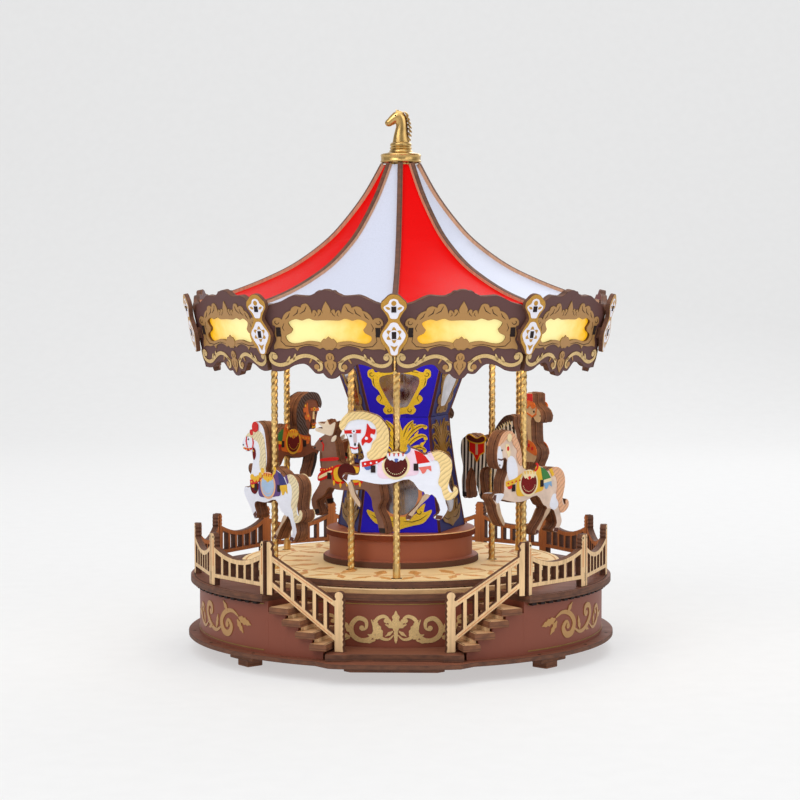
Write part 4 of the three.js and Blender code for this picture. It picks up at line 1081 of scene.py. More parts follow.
BOARD_HALF = [(0, -24.1), (0, -24.1), (2.2, -23.6), (4, -21.6), (4, -21.6), (5.8, -21.9), (7.6, -21.6),
              (9.5, -19.6), (11.2, -18), (13.5, -17.4), (17.5, -18.3), (21, -20.2), (24.6, -21),
              (28.3, -20.8), (28.3, -20.8), (29.8, 6.5), (29.8, 6.5), (28, 8.6), (25.4, 9.4), (22.5, 10.2),
              (20, 11.4), (17.5, 12.6), (15.2, 13.3), (13, 13.2), (10.4, 13), (8, 13), (6.6, 13.6),
              (6.6, 13.6), (5.2, 14.2), (4, 15.2),
              (2.6, 15.2), (2.6, 15.2), (1.4, 15.7), (0, 15.8)]
WINDOW_HALF = [(0, 2.7), (3, 2.6), (6, 2.6), (8.4, 3.4), (10.6, 2.9), (12, 2.5), (14.4, 3.1), (16.6, 2.6),
               (18.6, 1.4), (18.2, -0.2), (16.8, -1.8), (16.8, -1.8), (17.6, -3.2), (20, -4.4), (20.4, -6),
               (19.2, -7.6), (17, -8.3), (13.6, -8), (9.6, -7.2), (6, -7.4), (3.4, -8), (0, -8.2)]
FRAME_HALF = [(0, 10.9), (0, 10.9), (1.2, 9), (2, 7.2), (1.8, 5.8), (1.8, 5.8), (2.9, 7.2), (4, 7),
              (4.2, 5.6), (4.2, 5.6), (5.2, 6.8), (6.3, 6.8), (6.8, 5.4), (6.8, 5.4), (7.6, 8), (9, 9.7),
              (11.2, 9.5), (12, 8), (12, 8), (14.2, 8.7), (16.2, 8), (17, 6.6), (17, 6.6), (18.8, 6),
              (20.4, 4.6), (21.4, 2.6), (21.4, 2.6), (22.6, 3.4), (24.6, 3.4), (26, 2), (26, 0.2),
              (24.8, -0.6), (25.4, -4), (24.8, -6.4), (26.2, -9.2), (26.2, -11), (26.2, -11), (24, -10.4),
              (20.4, -10.6), (17.4, -10.2), (16.4, -10.2), (15, -11.6), (15, -11.6), (13.8, -10), (9.6, -9),
              (6.4, -9.6), (4.4, -10.6), (4.4, -10.6),
              (2.8, -10), (1.4, -11), (0, -10.8)]


def board_scroll():
    """The foil scroll under the window, right half first, then its middle drop."""
    long_s = curved([(25.6, -13.2), (27.4, -12.6), (28.4, -14.2), (27.6, -16.6), (24.6, -17.9), (21, -17.4),
                     (16, -14.8), (11.6, -13.6), (7.4, -14.6), (4.6, -17.2), (4.6, -19.6), (6.4, -20.2)],
                    5, False)
    right = [stroke(long_s, 0.7, 1.7, 0.9), disc(26.2, -14.2, 1.3, sides=16),
             disc(6.6, -18.6, 1.25, sides=16),
             leaf(20.6, -17, 3.6, 1.6, 118, 1), leaf(17.4, -15.8, 3.4, 1.5, 112, 1),
             leaf(6.4, -15.6, 3.2, 1.4, 200, 1), leaf(8.6, -14.8, 2.6, 1.2, -60, 1)]
    drop = both(curved([(0, -12.2), (0, -12.2), (1.5, -13), (2, -14.8), (1.4, -15.8), (2.7, -16.6),
                        (2.6, -18.6),
                        (1.4, -20.4), (0, -22.4), (0, -22.4)], 4, False))
    return right + [mirror(s) for s in right], drop


def board_marks():
    """Engraved veins over the foil frame and drop, right half only."""
    return [stroke([(9.2, 8.6), (10.2, 6.6), (12.6, 5.2)], 0.2, 0.45, 0.15),
            stroke([(13.2, 7.4), (13.8, 5.6), (16, 4.2)], 0.2, 0.5, 0.15),
            stroke([(17.4, 5.6), (18.2, 4), (19.6, 2.8)], 0.15, 0.45, 0.15),
            stroke([(5.4, 5.8), (5, 4.8), (5.8, 4.2)], 0.15, 0.3, 0.15),
            stroke([(2.4, 6.2), (3, 5), (4, 4.2)], 0.15, 0.35, 0.15),
            stroke(spiral(24, 1.6, 1.3, 180, 420, 0.6), 0.15, 0.35, 0.2),
            stroke([(22.2, -4), (22.6, -7), (20.4, -9.2), (16, -9.6), (10, -8.4), (5, -9)], 0.2, 0.35, 0.15),
            stroke([(20.4, 1), (21.4, -1), (20.6, -2.6)], 0.15, 0.35, 0.15),
            stroke([(0.9, -13.6), (0.7, -14.8), (0.2, -15.4)], 0.15, 0.25, 0.15),
            stroke([(1.2, -17), (1.5, -18.4), (0.6, -19.8)], 0.15, 0.25, 0.15)]


BADGE_HALF = [(0, -13.6), (1.8, -13), (3.2, -10.6), (5.2, -7.8), (6.1, -5.4), (6, -3.6), (4.4, -0.6),
              (2.7, 2.2),
              (2.9, 3.8), (4.2, 6), (5.6, 8), (5.4, 10.4), (4, 11.8), (2.6, 13.2), (1.2, 13.9), (0, 14)]
BADGE_TOP = [(0, 12), (1.6, 11.4), (2.4, 9.8), (3.6, 9), (4.4, 8.2), (3.8, 6.9), (2.4, 5.6), (1.4, 3.4),
             (0, 3.2)]
BADGE_LOW = [(0, 1.6), (1.4, 1.2), (2.8, -0.8), (4.4, -2.6), (5, -4.4), (3.8, -7), (2, -9.6), (1.4, -12.4),
             (0, -13)]


def make_boards(i):
    """Two rounding boards with lit windows and foil, and the badges over the corners."""
    apothem = BOARD_RING * math.cos(math.pi / SIDES)
    node, middle = f"rounding_boards_{i + 1}", 72 * i
    board, foils = Piece(f"boards_{i + 1}"), Piece(f"board_foils_{i + 1}")
    badges, windows = Piece(f"badges_{i + 1}"), Piece(f"windows_{i + 1}")
    scroll, drop = board_scroll()
    window, gilt = both(curved(WINDOW_HALF, 3, False)), both(curved(FRAME_HALF, 3, False))
    for side in (-1, 1):
        place = facing(middle + 18 * side, apothem, BOARD_MID, BOARD_LEAN)
        board.sheet(both(curved(BOARD_HALF, 3, False)), PLY, "board_ply", "burnt_edge", place, holes=[window],
                    bevel=0.15)
        lit = Matrix.Scale(-side, 4, (1, 0, 0))
        windows.sheet(inset(window, -0.6), 0.6, "window_warm", place=place @ lit, rise=-1.1)
        foils.sheet(gilt, 0.5, "old_gold", "dark_gold", place, rise=0.35,
                    holes=[inset(window, 0.25)], bevel=0.1)
        palmette = both(curved([(0, -4.8), (0, -4.8), (1.4, -6), (2.2, -5.8), (3.4, -7), (3.8, -8.4),
                                (2.6, -10),
                                (0, -10.6)], 3, False))
        foils.sheet(palmette, 0.6, "old_gold", "dark_gold", place, rise=0.5, bevel=0.1)
        foils.sheet(drop, 0.4, "old_gold", "dark_gold", place, rise=0.35)
        for shape in scroll:
            foils.sheet(shape, 0.4, "pale_gold" if abs(shape[0][0]) > 14 else "old_gold", "dark_gold", place,
                        rise=0.3)
        for mark in board_marks():
            for drawn in (mark, mirror(mark)):
                foils.sheet(drawn, 0.2, "engraved", place=place, rise=0.42)
        for x in (-23.4, 23.4):
            # dark slots of painted shade in the board
            foils.sheet(slot_hole(x, -2.9, 2.2, 4.2), 0.6, "slot_dark", place=place, rise=0.55)
    for corner in (0, 36):
        place = facing(middle + corner, BADGE_RING, BOARD_MID, BADGE_LEAN)
        badges.sheet(both(curved(BADGE_HALF, 3, False)), THIN, "ochre", "burnt_edge", place, bevel=0.15)
        for half in (BADGE_TOP, BADGE_LOW):
            badges.sheet(both(curved(half, 3, False)), 0.25, "badge_white", place=place, rise=0.12)
        flower = [((2.9 + 0.7 * math.cos(6 * a)) * math.sin(a),
                   -4 + (2.9 + 0.7 * math.cos(6 * a)) * math.cos(a))
                  for a in [2 * math.pi * k / 48 for k in range(48)]]
        layers = [(flower, 0.25, "ochre", 0.2), (disc(0, -4, 2.2), 0.25, "badge_white", 0.27),
                  # two dark slots of painted shade in the badge
                  (slot_hole(0, -4.1, 1.9, 3.1), 0.4, "slot_dark", 0.4),
                  (slot_hole(0, 7.3, 2.1, 2.5), 0.4, "slot_dark", 0.35),
                  (disc(0, 10, 1.1, sides=16), 0.25, "ochre", 0.24),
                  ([(-1.6, -8.6), (0, -9.2), (1.6, -8.6), (0, -11.4)], 0.25, "ochre", 0.24),
                  (leaf(1.6, 7.4, 2.2, 1.1, 24), 0.25, "ochre", 0.24),
                  (leaf(-1.6, 7.4, 2.2, 1.1, 156), 0.25, "ochre", 0.24)]
        for outline, thick, finish, rise in layers:
            badges.sheet(outline, thick, finish, place=place, rise=rise)
        tie = (-3.4, 3.4) if not corner else (-4.6, -0.4)
        outline = slot_hole(sum(tie) / 2, 152 - BOARD_MID, tie[1] - tie[0], 5)
        badges.sheet(outline, 3.4, "layered_edge", place=facing(middle + corner, 100.3, BOARD_MID))
    board.done("carousel", node, "board_ply")
    windows.done("carousel", node, "board_ply")
    foils.done("carousel", node, "old_gold")
    badges.done("carousel", node, "old_gold")


# ------------------------------------------------------------------ crown
def ellipse_ring(x, z, wide, deep, lean, sides=24):
    """A ring across the horse's head: centre, half-widths and the lean of its plane."""
    angle = math.radians(lean)
    found = []
    for i in range(sides):
        a = 2 * math.pi * i / sides
        along, across = deep * math.cos(a), wide * math.sin(a)
        found.append((x + along * math.cos(angle), across, z + along * math.sin(angle)))
    return found


def make_crown():
    """The turned cap, and the carved horse's head on its rings."""
    cap = Piece("crown_cap")
    cap.turned([(0, 227), (6.2, 227), (6.2, 232.4), (9.1, 232.4), (9.7, 232.9), (9.8, 233.4), (9.55, 233.8),
                (9.55, 235.7), (9.8, 236.1), (9.5, 236.7), (8.8, 237), (0, 237)], "polished_gold", 96)
    cap.done("carousel", "cap", "old_gold")
    head = Piece("horse_finial")
    head.turned([(0, 237.05), (7.2, 237.05), (6.4, 237.5), (5.6, 237.9), (5.5, 238.5), (4.9, 238.9),
                 (5.2, 239.4),
                 (5.3, 239.9), (4.8, 240.3), (5.1, 240.8), (5.2, 241.5), (4.8, 242), (4.3, 242.4), (0, 243)],
                "polished_gold", 64)
    neck = [(0.2, 242, 2.9, 4.3, 0), (0.1, 244.2, 2.7, 3.8, 2), (0.1, 246.5, 2.5, 3.4, 4),
            (0.3, 248.8, 2.3, 3.1, 10), (0.4, 250.8, 2.2, 2.9, 20), (0.2, 252.6, 2.2, 3.1, 35),
            (-0.6, 254.2, 2.3, 3.3, 55), (-1.8, 254.7, 2.3, 3.2, 78), (-3, 254, 2.1, 2.8, 100),
            (-4.2, 253, 1.8, 2.3, 118), (-5.1, 252.2, 1.6, 1.95, 126), (-5.9, 251.6, 1.55, 1.85, 130),
            (-6.7, 251, 1.2, 1.4, 132), (-7.1, 250.7, 0.6, 0.7, 132)]
    head.loft([ellipse_ring(*ring) for ring in neck], "polished_gold")
    round_ear = [2 * math.pi * k / 12 for k in range(12)]
    ball = [(0, -0.42), (0.3, -0.3), (0.42, 0), (0.3, 0.3), (0, 0.42)]
    for side in (-1, 1):
        rings = [[(-1.5 - 0.9 * t + 0.75 * (1 - t) * math.cos(a), side * 1.15 + 0.5 * (1 - t) * math.sin(a),
                   256.7 + 1.6 * t) for a in round_ear] for t in (0, 0.35, 0.7, 0.95)]
        head.loft(rings, "polished_gold")
        # dark eyes and nostrils: painted shade in the hollows of the gold head
        head.turned(ball, "slot_dark", 16, shift(-2.6, side * 2.0, 255.1))
        head.turned([(0, -0.25), (0.25, 0), (0, 0.25)], "slot_dark", 12, shift(-6.3, side * 1.3, 251.6))
    for k in range(7):
        t = k / 6
        x, z = 2.1 + 1.5 * math.sin(2.4 * t), 256 - 11.6 * t
        rings = [ellipse_ring(x + 1.5 * s, z + 0.5 * s - 1.2 * s * s, 1.8 * (1 - 0.7 * s),
                              1.5 * (1 - 0.65 * s),
                              -60 - 30 * s, 16) for s in (0, 0.3, 0.6, 0.9, 1.15)]
        head.loft(rings, "polished_gold")
    forelock = [ellipse_ring(-1 - 1.4 * s, 257.2 - 0.8 * s * s, 1 - 0.5 * s, 0.9 - 0.45 * s, 90 + 40 * s, 16)
                for s in (0, 0.35, 0.7, 1)]
    head.loft(forelock, "polished_gold")
    head.done("carousel", "finial", "old_gold", smooth=50)


# ------------------------------------------------------------------ poles and animals
def make_poles():
    """Nine twisted brass poles with smooth ends."""
    for i, (_, angle, ring, *_, lift) in enumerate(RIDERS):
        x, y = polar(ring, angle)
        pole = Piece(f"twisted_pole_{i + 1}")
        foot = 20 + lift
        part = bmesh.new()
        part.loops.layers.uv.new("cut")
        bmesh.ops.create_circle(part, segments=16, radius=1.56 * MM)
        for vert in part.verts:
            lobe = 1 + 0.09 * math.cos(2 * math.atan2(vert.co.y, vert.co.x))
            vert.co = Vector((vert.co.x * lobe, vert.co.y * lobe, 0))
        steps, length, pitch = 118, 118.0, 6.4
        bmesh.ops.spin(part, geom=part.edges[:], cent=(0, 0, 0), axis=(0, 0, 1),
                       dvec=(0, 0, length / steps * MM),
                       angle=2 * math.pi * length / pitch, steps=steps)
        bmesh.ops.recalc_face_normals(part, faces=part.faces[:])
        pole.take(part, shift(x, y, foot + 20))
        pole.turned([(0, 0), (1.2, 0), (1.7, 0.5), (1.7, 19.4), (1.5, 20.6), (0, 20.6)], "twisted_brass", 24,
                    shift(x, y, foot))
        for made in pole.bm.faces:
            made.material_index = pole.index("twisted_brass")
        pole.turned([(0, -0.3), (1.45, -0.3), (1.6, 0), (0, 0)], "twisted_brass", 24, shift(x, y, foot + 138))
        pole.done(f"rider_{i + 1}", f"pole_{i + 1}", "pole_gold", smooth=60)


HINDQUARTERS = [  # saddle, rump, tail, hind legs and belly
    (-3.8, 7.9), (-5.4, 11.5), (-6.6, 10.4), (-9.8, 9.3), (-12.7, 7.4), (-17, 8.6), (-21.6, 7.9),
    (-24.9, 5), (-25.2, 0.8), (-23.8, -5), (-25.2, -9.3), (-26.3, -6.8), (-27.9, -8.5), (-27.5, -11.1),
    (-24.9, -13.2), (-22.4, -13.6), (-23.4, -17.6), (-20.2, -22.4), (-17.2, -22.1), (-16.6, -20.7),
    (-19.3, -17.8), (-15.9, -11.1), (-10.2, -16.8), (-6.3, -22.4), (-4.1, -22.1), (-5.2, -19.6),
    (-9.1, -15.7), (-12.4, -10.6), (-9.8, -8.9), (-5.5, -4.4), (2.7, -6.4), (9.8, -6.4),
]
FORELEGS = [
    (20.2, -4.6), (18.1, -11.1), (15.9, -14.6), (16.3, -17.1), (18.4, -14.6), (20.9, -10.3), (22.2, -6.4),
    (24.5, -3.5), (23.1, -1.4), (17.3, -1.6), (16.6, 4.3),
]
OUTLINES = {  # forwards from the pole, and above the middle of the body
    "horse": [
      (25.4, 20.8), (23.8, 23.3), (20.6, 25.6), (15.9, 26.5), (10.6, 25.4), (6.3, 22.9), (3.4, 18.6),
      (2.9, 13.3), (3.9, 8.3), *HINDQUARTERS, *FORELEGS, (14.8, 6), (16.9, 12.2), (17, 7.9),
      (20.2, 7.5), (21.4, 12.5), (23.4, 17.6),
    ],
    "stallion": [
      (20.4, 11), (21.6, 15), (21, 20.6), (18.6, 25.2), (15.4, 27.4), (11.4, 27.2), (8.4, 24.6),
      (6, 20.4), (4.6, 15), (3.4, 9.6), *HINDQUARTERS, *FORELEGS, (14.8, 8), (14.6, 12.6),
      (16.2, 14.6), (16.8, 11.6), (18.4, 9.6),
    ],
    "prancer": [
      (22.6, 19.2), (22.2, 22), (18.8, 24.6), (15, 26.8), (14, 30.2), (11, 31.8), (7, 31.4),
      (3.4, 28.2), (1.6, 21), (1, 14), (1.8, 8.4), *HINDQUARTERS, (11.6, -8), (9.6, -12.6),
      (12.4, -14.6), (15.2, -10.2), (19.6, -5.4), (21.4, -2.4), (20.4, 0.4), (16.2, 0.6), (15.8, 5),
      (14, 11), (13.6, 15.4), (16.6, 17.2), (19.4, 16.8),
    ],
    "zebra": [
      (22.4, 5.4), (22, 11), (19.8, 15.6), (20, 18.8), (17.6, 20), (12.4, 18.8), (7.4, 14), (3.6, 8.4),
      (0.2, 7.6), (-2.6, 9.2), (-7, 7.6), (-12.4, 9.4), (-15.4, 8.2), (-19, 5.4), (-19.6, -1),
      (-17.8, -7.6), (-18.8, -14), (-17.8, -22), (-14.6, -22), (-15, -14.6), (-12, -8), (-9.4, -9.4),
      (-7.6, -15.6), (-4.6, -22), (-1.8, -21.6), (-4, -15.6), (-4, -8.4), (3, -6.6), (3.2, -12.4),
      (4.6, -20.4), (7.8, -20.4), (7.4, -12), (9.2, -7), (12.6, -3), (14, 2.4), (15.8, 8), (17.8, 4.6),
      (20, 3.6),
    ],
    "pony": [
      (21.8, 13.5), (20.5, 19.4), (17, 22.6), (16.2, 26.3), (13.8, 23.8), (8.6, 20.6), (5.2, 14.2),
      (3.4, 8.6), (-3.8, 7.4), (-6, 9.6), (-12.4, 8), (-17.6, 8), (-20.6, 4.4), (-20.4, -4), (-18.2, -10.2),
      (-21, -15.6), (-19.6, -22), (-16, -22), (-16.6, -16), (-13.6, -9.4), (-9.6, -6.4), (-2.6, -7),
      (6.4, -7), (10.6, -6), (9.4, -12.6), (11.6, -18.6), (14.4, -17.6), (13.4, -11), (17, -9.4),
      (19.8, -12.6), (21.6, -10.4), (17.6, -4.2), (15.8, 1), (14.2, 8), (15.8, 12.8), (18.8, 10.2),
    ],
    "deer": [
      (18.2, 12.2), (18.6, 14.4), (15.4, 18), (12.6, 20), (17.6, 21), (17.4, 22.6), (13.6, 22.6),
      (16.6, 25.2), (12.6, 24.8), (11, 26.8), (9.4, 24.4), (6, 26), (6.6, 22), (8, 18.6), (6.2, 15.4),
      (5.2, 9.6), (4, 6.8), (-4, 6), (-12, 6.8), (-15, 9.4), (-17.4, 8), (-17, 2.6), (-18, -3.4),
      (-19, -9.4), (-17.2, -13.4), (-20, -19), (-21, -24.8), (-17.6, -24.8), (-16, -19), (-13.6, -13.2),
      (-12.8, -9), (-9, -5.4), (-2, -6.2), (6, -6.2), (10, -5.4), (13, -9.4), (17, -12.2), (15.2, -17.8),
      (18, -18.4), (20.4, -11.2), (16, -4), (15.4, 0.4), (14.4, 6), (14.4, 10.6),
    ],
    "llama": [
      (17.8, 17.4), (21.4, 15.2), (25.2, 15.4), (26.4, 18.4), (24.6, 21.4), (20.8, 23.2), (19, 25.2),
      (18.6, 29.4), (12.6, 29.4), (12, 24), (12.2, 17), (11.4, 10.4), (9, 7.4), (-4, 7.4), (-13, 7.4),
      (-17, 5.2), (-18.4, -1), (-16.2, -6.4), (-18.2, -13.2), (-16.2, -22), (-12.6, -22), (-13, -13.2),
      (-9.2, -6.6), (0, -7.2), (9.4, -6.4), (12.8, -12.4), (11.2, -22), (14.6, -22), (17, -12.4),
      (19.6, -6), (22.4, -2), (22.6, 2.2), (18.4, 5), (17.4, 11),
    ],
}

Coat = namedtuple("Coat", "coat hair band cloth saddle ring lace rump scallop ribbon shade hoof face dots")
COATS = {  # the paint of each of those parts, animal by animal
    "horse_white": ("white_coat blond_hair red pale_pink dark_saddle cream white_coat red salmon blue "
                    "far_tan hoof_brown blaze_grey white_coat"),
    "horse_pompom": ("white_coat cream_hair red plum pale_blue peach sun_paint navy sun_paint sun_paint "
                     "far_tan hoof_brown blaze_grey sun_paint"),
    "horse_brown": ("chestnut dark_hair orange orange wine sun_paint sun_paint green red orange "
                    "hoof_black hoof_black cream sun_paint"),
    "horse_pinto": ("pinto peach_hair sun_paint sun_paint wine cream cream green sky red far_tan "
                    "hoof_brown peach red"),
    "horse_rear": ("grey_coat dark_hair blue sky dark_saddle cream white_coat blue white_coat red "
                   "hoof_black hoof_black white_coat white_coat"),
    "zebra": ("zebra_coat dark_hair red red dark_saddle sun_paint sun_paint none none sun_paint "
              "hoof_brown hoof_black hoof_black sun_paint"),
    "horse_inner": ("chestnut cream_hair green cream wine sun_paint white_coat none none red hoof_brown "
                    "hoof_black cream sun_paint"),
    "reindeer": ("deer_coat antler red red dark_saddle sun_paint sun_paint none none sun_paint "
                 "hoof_brown hoof_black antler sun_paint"),
    "llama": ("beige cream_hair orange orange red sun_paint sun_paint none none red hoof_brown "
              "hoof_brown cream sun_paint"),
}

PAINTS = {  # the plain paints, in 8-bit steps
    "antler": (238, 224, 204), "red": (214, 24, 16), "salmon": (236, 116, 104),
    "pale_pink": (244, 214, 230), "cream": (246, 226, 178), "blue": (84, 108, 180), "navy": (48, 48, 116),
    "plum": (96, 62, 128), "pale_blue": (170, 196, 226), "sky": (130, 176, 216), "peach": (242, 186, 146),
    "orange": (228, 116, 36), "green": (58, 128, 62), "sun_paint": (240, 188, 44),
    "hoof_brown": (96, 52, 40), "hoof_black": (40, 30, 28), "blaze_grey": (206, 186, 190),
}
RECIPES.update({name: (paint, srgb(*steps)) for name, steps in PAINTS.items()})
RECIPES.update({
    "white_coat": (paint, srgb(238, 240, 250), 0.4, 0.04), "blond_hair": (strands, srgb(250, 218, 150)),
    "cream_hair": (strands, srgb(240, 222, 178)), "peach_hair": (strands, srgb(236, 178, 136)),
    "dark_hair": (strands, srgb(70, 42, 30)), "dark_saddle": (leather, srgb(92, 34, 32)),
    "wine": (leather, srgb(116, 30, 30)), "far_tan": (wood, srgb(206, 176, 146), "Z"),
    "chestnut": (paint, srgb(132, 74, 46), 0.45, 0.2), "pinto": (paint, srgb(232, 206, 186), 0.45, 0.2),
    "grey_coat": (paint, srgb(186, 190, 202), 0.45, 0.16),
    "deer_coat": (paint, srgb(138, 98, 80), 0.5, 0.2), "beige": (paint, srgb(222, 196, 160), 0.5, 0.14),
    "zebra_coat": (striped, srgb(232, 228, 222), srgb(30, 26, 28)),
})


def dot(x, y, radius, finish, height, sides=12):
    """A painted dot: its outline, its finish and how far it stands out."""
    return disc(x, y, radius, sides=sides), finish, height


def body_paint(coat):
    """The dress of a carousel horse from its collar to its tail: outline, finish, how far it stands out."""
    tail = [(-15.9, 8.1), (-19.8, 8.5), (-23.3, 6.4), (-24.9, 2.9), (-24.7, -1), (-23.6, -5), (-23, -7.8),
            (-24, -9.8), (-25.5, -9.6), (-25.5, -7.9), (-26.3, -7.1), (-27.6, -8.6), (-27.2, -11),
            (-24.8, -12.9), (-22.2, -13.2), (-20.9, -10.8), (-20.2, -8), (-18.8, -5.6), (-19.6, -1.4),
            (-19.4, 2.2), (-18.4, 4.3),
            (-16.6, 5)]
    blanket = [(8.2, 2.2), (7, 4), (4.8, 6.5), (3, 7.4), (-3.4, 7.4), (-5.2, 9.6), (-8, 8.9), (-9.6, 3),
               (-9.8, -1.4), (-5.9, -2.5), (0, -3.4), (7.7, -3.2)]
    painted = [
        (curved(blanket), coat.cloth, 0.15),
        (curved([(-8, 9.1), (-8, 9.1), (-10.2, 8.4), (-12.7, 6.7), (-15.2, 3.6), (-15.2, 3.6), (-9.5, 2.5),
                 (-9.5, 2.5)]), coat.rump, 0.25),
        ([(-9.5, 2.9), (-15.2, 3.7), (-15.5, 2.2), (-9.8, 1.4)], coat.lace, 0.3),
        (curved([(-9.8, 1.5), (-9.8, 1.5), (-15.4, 2.3), (-15.4, 2.3), (-15.7, -0.4), (-14, 0.7),
                 (-12.9, -0.9),
                 (-11.7, -1.4), (-10.8, 0.2)]), coat.scallop, 0.25),
        dot(0.2, 2.2, 6.3, coat.ring, 0.3, 36), dot(0.2, 2.2, 5.2, coat.saddle, 0.55, 36),
        (stroke(curved([(15.4, 2.6), (13, 3), (9, 4), (4.4, 6.4)], 4, False), 2.2, 2.3, 1.2), coat.band, 0.3),
        (curved([(14.4, 1.4), (13.4, 0.2), (11.6, 0.6), (10.8, 2.2), (13, 1.6)]), coat.ribbon, 0.35),
        (curved(tail), coat.hair, 0.3),
        ([(-13.9, 7.6), (-15.6, 8.2), (-17.2, 5), (-15.9, 4.2)], coat.cloth, 0.45),
        (curved([(-14.9, -11.6), (-10.2, -16.4), (-6.3, -22), (-6.3, -22), (-4.5, -21.9), (-5.6, -19.7),
                 (-9.4, -15.7), (-12.5, -10.9)]), coat.shade, 0.12),
        ([(-20.1, -22.1), (-17.4, -21.8), (-18, -20), (-20.9, -20.4)], coat.hoof, 0.2),
        ([(-6.3, -22), (-4.4, -21.8), (-5.3, -20), (-7, -20.6)], coat.hoof, 0.2),
        (stroke(curved([(-3.9, 7.4), (-5.6, 8.8), (-5.8, 10.4), (-4.8, 11)], 4, False), 0.7, 1.2, 0.8),
         coat.ribbon, 0.35),
        # two dark slots of painted shade in the saddle cloth
        (slot_hole(10.4, 0.6, 2.1, 3.2), "slot_dark", 0.5),
        (slot_hole(-8.8, 1.5, 2.1, 3.2), "slot_dark", 0.5),
        (curved([(0.9, 5), (0, 3.6), (-0.9, 5), (0, 5.4)]), coat.ribbon, 0.85),
    ]
    for k in range(4):
        painted.append((disc(14 - 2.6 * k, 2.9 + 0.35 * k, 0.45, sides=10), coat.dots, 0.42))
    for k in range(7):
        painted.append((slot_hole(3 - k, 7.1, 0.55, 1.4), coat.lace if k % 2 else coat.band, 0.7))
    lace = [(4.2, 7.3)] + [(3.8 - 0.95 * k,
                            5.6 - 1.1 * math.sin(math.pi * (k + 0.5) / 9) - (0.6 if k % 2 else 0))
                           for k in range(9)] + [(-4.7, 7.3)]
    painted.append((lace, coat.lace, 0.62))
    for k in range(12):
        a = math.radians(200 + 140 * k / 11)
        painted.append(dot(0.2 + 4.2 * math.cos(a), 2.4 + 4.1 * math.sin(a), 0.22, coat.ring, 0.7, 8))
    return painted


def foreleg_paint(coat):
    """The far foreleg and the raised hoof of a galloping horse."""
    return [(curved([(20.1, -5.2), (18.3, -10.9), (16.3, -14.5), (16.6, -16.4), (18.4, -14.3), (20.7, -10.2),
                     (21.6, -6.4)]), coat.shade, 0.12),
            ([(24.2, -3.5), (23, -1.8), (21.6, -1.9), (22.3, -4.8)], coat.hoof, 0.2)]


def bowed_head(coat):
    """A head held down under a full mane, with a patterned neck."""
    mane = [(25.6, 20.4), (24, 23.6), (21.3, 25.7), (15.2, 26.4), (10.2, 25.1), (8.4, 24.4), (6.4, 22.8),
            (3.7, 18.8), (3.2, 13.4), (3.8, 9), (4.8, 6.5), (7.6, 5.3), (10.5, 4.7), (12.7, 5.4),
            (13.1, 7.9), (11.6, 9.3), (10.6, 12.6), (9.1, 14.3), (8.8, 17.2), (9.5, 20), (12, 22.2),
            (15.9, 22.9),
            (18.8, 22.6), (21.3, 21.7), (23.1, 19), (24.5, 17.9)]
    neck = [(13.1, 21), (12, 19.7), (10.9, 18.6), (9.3, 18.3), (9.8, 16.1), (11.3, 16.5), (11.6, 15.1),
            (10.6, 14),
            (12, 12.2), (13.8, 12.6), (15.2, 11.1), (15.6, 13.6), (14.1, 15.8), (13.4, 18.4)]
    return [
        (curved(neck), coat.band, 0.2), dot(11.2, 19.6, 0.6, coat.dots, 0.3),
        dot(13.4, 14.4, 0.7, coat.dots, 0.3), (curved(mane), coat.hair, 0.45),
        ([(23.4, 17.9), (15.8, 18.3), (15.9, 16.7), (23.2, 16.4)], coat.band, 0.25),
        dot(19, 17.5, 1.0, coat.lace, 0.35, 16), dot(19, 17.5, 0.4, "hoof_black", 0.42, 10),
        ([(19.3, 16.3), (17.8, 16.3), (17.7, 12.5), (19.2, 12.5)], coat.face, 0.15),
        (disc(20.4, 15.4, 0.55, 0.42, 12), "hoof_black", 0.3),
        (disc(18.5, 11.6, 0.45, 0.75, 12), "hoof_black", 0.25),
        (stroke([(20.9, 10.4), (18.6, 9.7), (16.9, 10.2)], 0.5, 0.8, 0.5), coat.band, 0.25),
        (curved([(20, 9.1), (18.6, 8.6), (17.2, 9.2), (17.3, 7.7), (18.6, 8.3), (19.9, 7.9)]), coat.lace,
         0.35),
    ] + foreleg_paint(coat)


def reaching_head(coat):
    """A head reaching forwards, with a white blaze and pale patches."""
    mane = [(20.6, 20.4), (18.3, 24.7), (15.3, 26.9), (11.6, 26.7), (8.9, 24.1), (6.5, 20.2), (5.1, 15),
            (5.2, 10.6),
            (7.2, 12), (8.4, 15.2), (8, 17.8), (10.4, 20.2), (11.8, 22.8), (14.6, 23.4), (17.6, 21.8)]
    return [
        (curved([(14.3, 14), (12, 15.6), (9.2, 13.6), (7.6, 9.4), (8.2, 4.8), (12.4, 3.8), (14.4, 7.6)]),
         "white_coat", 0.15),
        (curved([(19.8, 20.8), (21, 17), (20.8, 13.6), (19.9, 11.2), (18.5, 10.1), (17.6, 12.6), (18, 17)]),
         "white_coat", 0.2),
        (curved(mane), coat.hair, 0.45), (disc(13.4, 24, 1.5, 1.9, 20), "cream", 0.6),
        (curved([(15.6, 20.6), (13.6, 20.8), (12.6, 17.4), (13.4, 14.8), (14.8, 17)]), "cream", 0.25),
        (disc(14.2, 19, 0.7, 1.1, 14), coat.ribbon, 0.4),
        (disc(18.2, 18.4, 0.5, 0.42, 12), "hoof_black", 0.35),
        (stroke([(20.9, 14.6), (18.6, 14), (16, 14.6)], 0.5, 0.8, 0.5), "hoof_brown", 0.3),
        (disc(19.6, 11.6, 0.4, 0.5, 10), "hoof_black", 0.3),
        (curved([(16.8, -1.8), (22.9, -1.7), (21.4, -5.6), (19.2, -5)]), "white_coat", 0.14),
        (curved([(-14.4, -9.4), (-16.6, -4.4), (-19.4, -4.6), (-20.6, -9), (-17.8, -11.6)]), "white_coat",
         0.14),
    ] + foreleg_paint(coat)


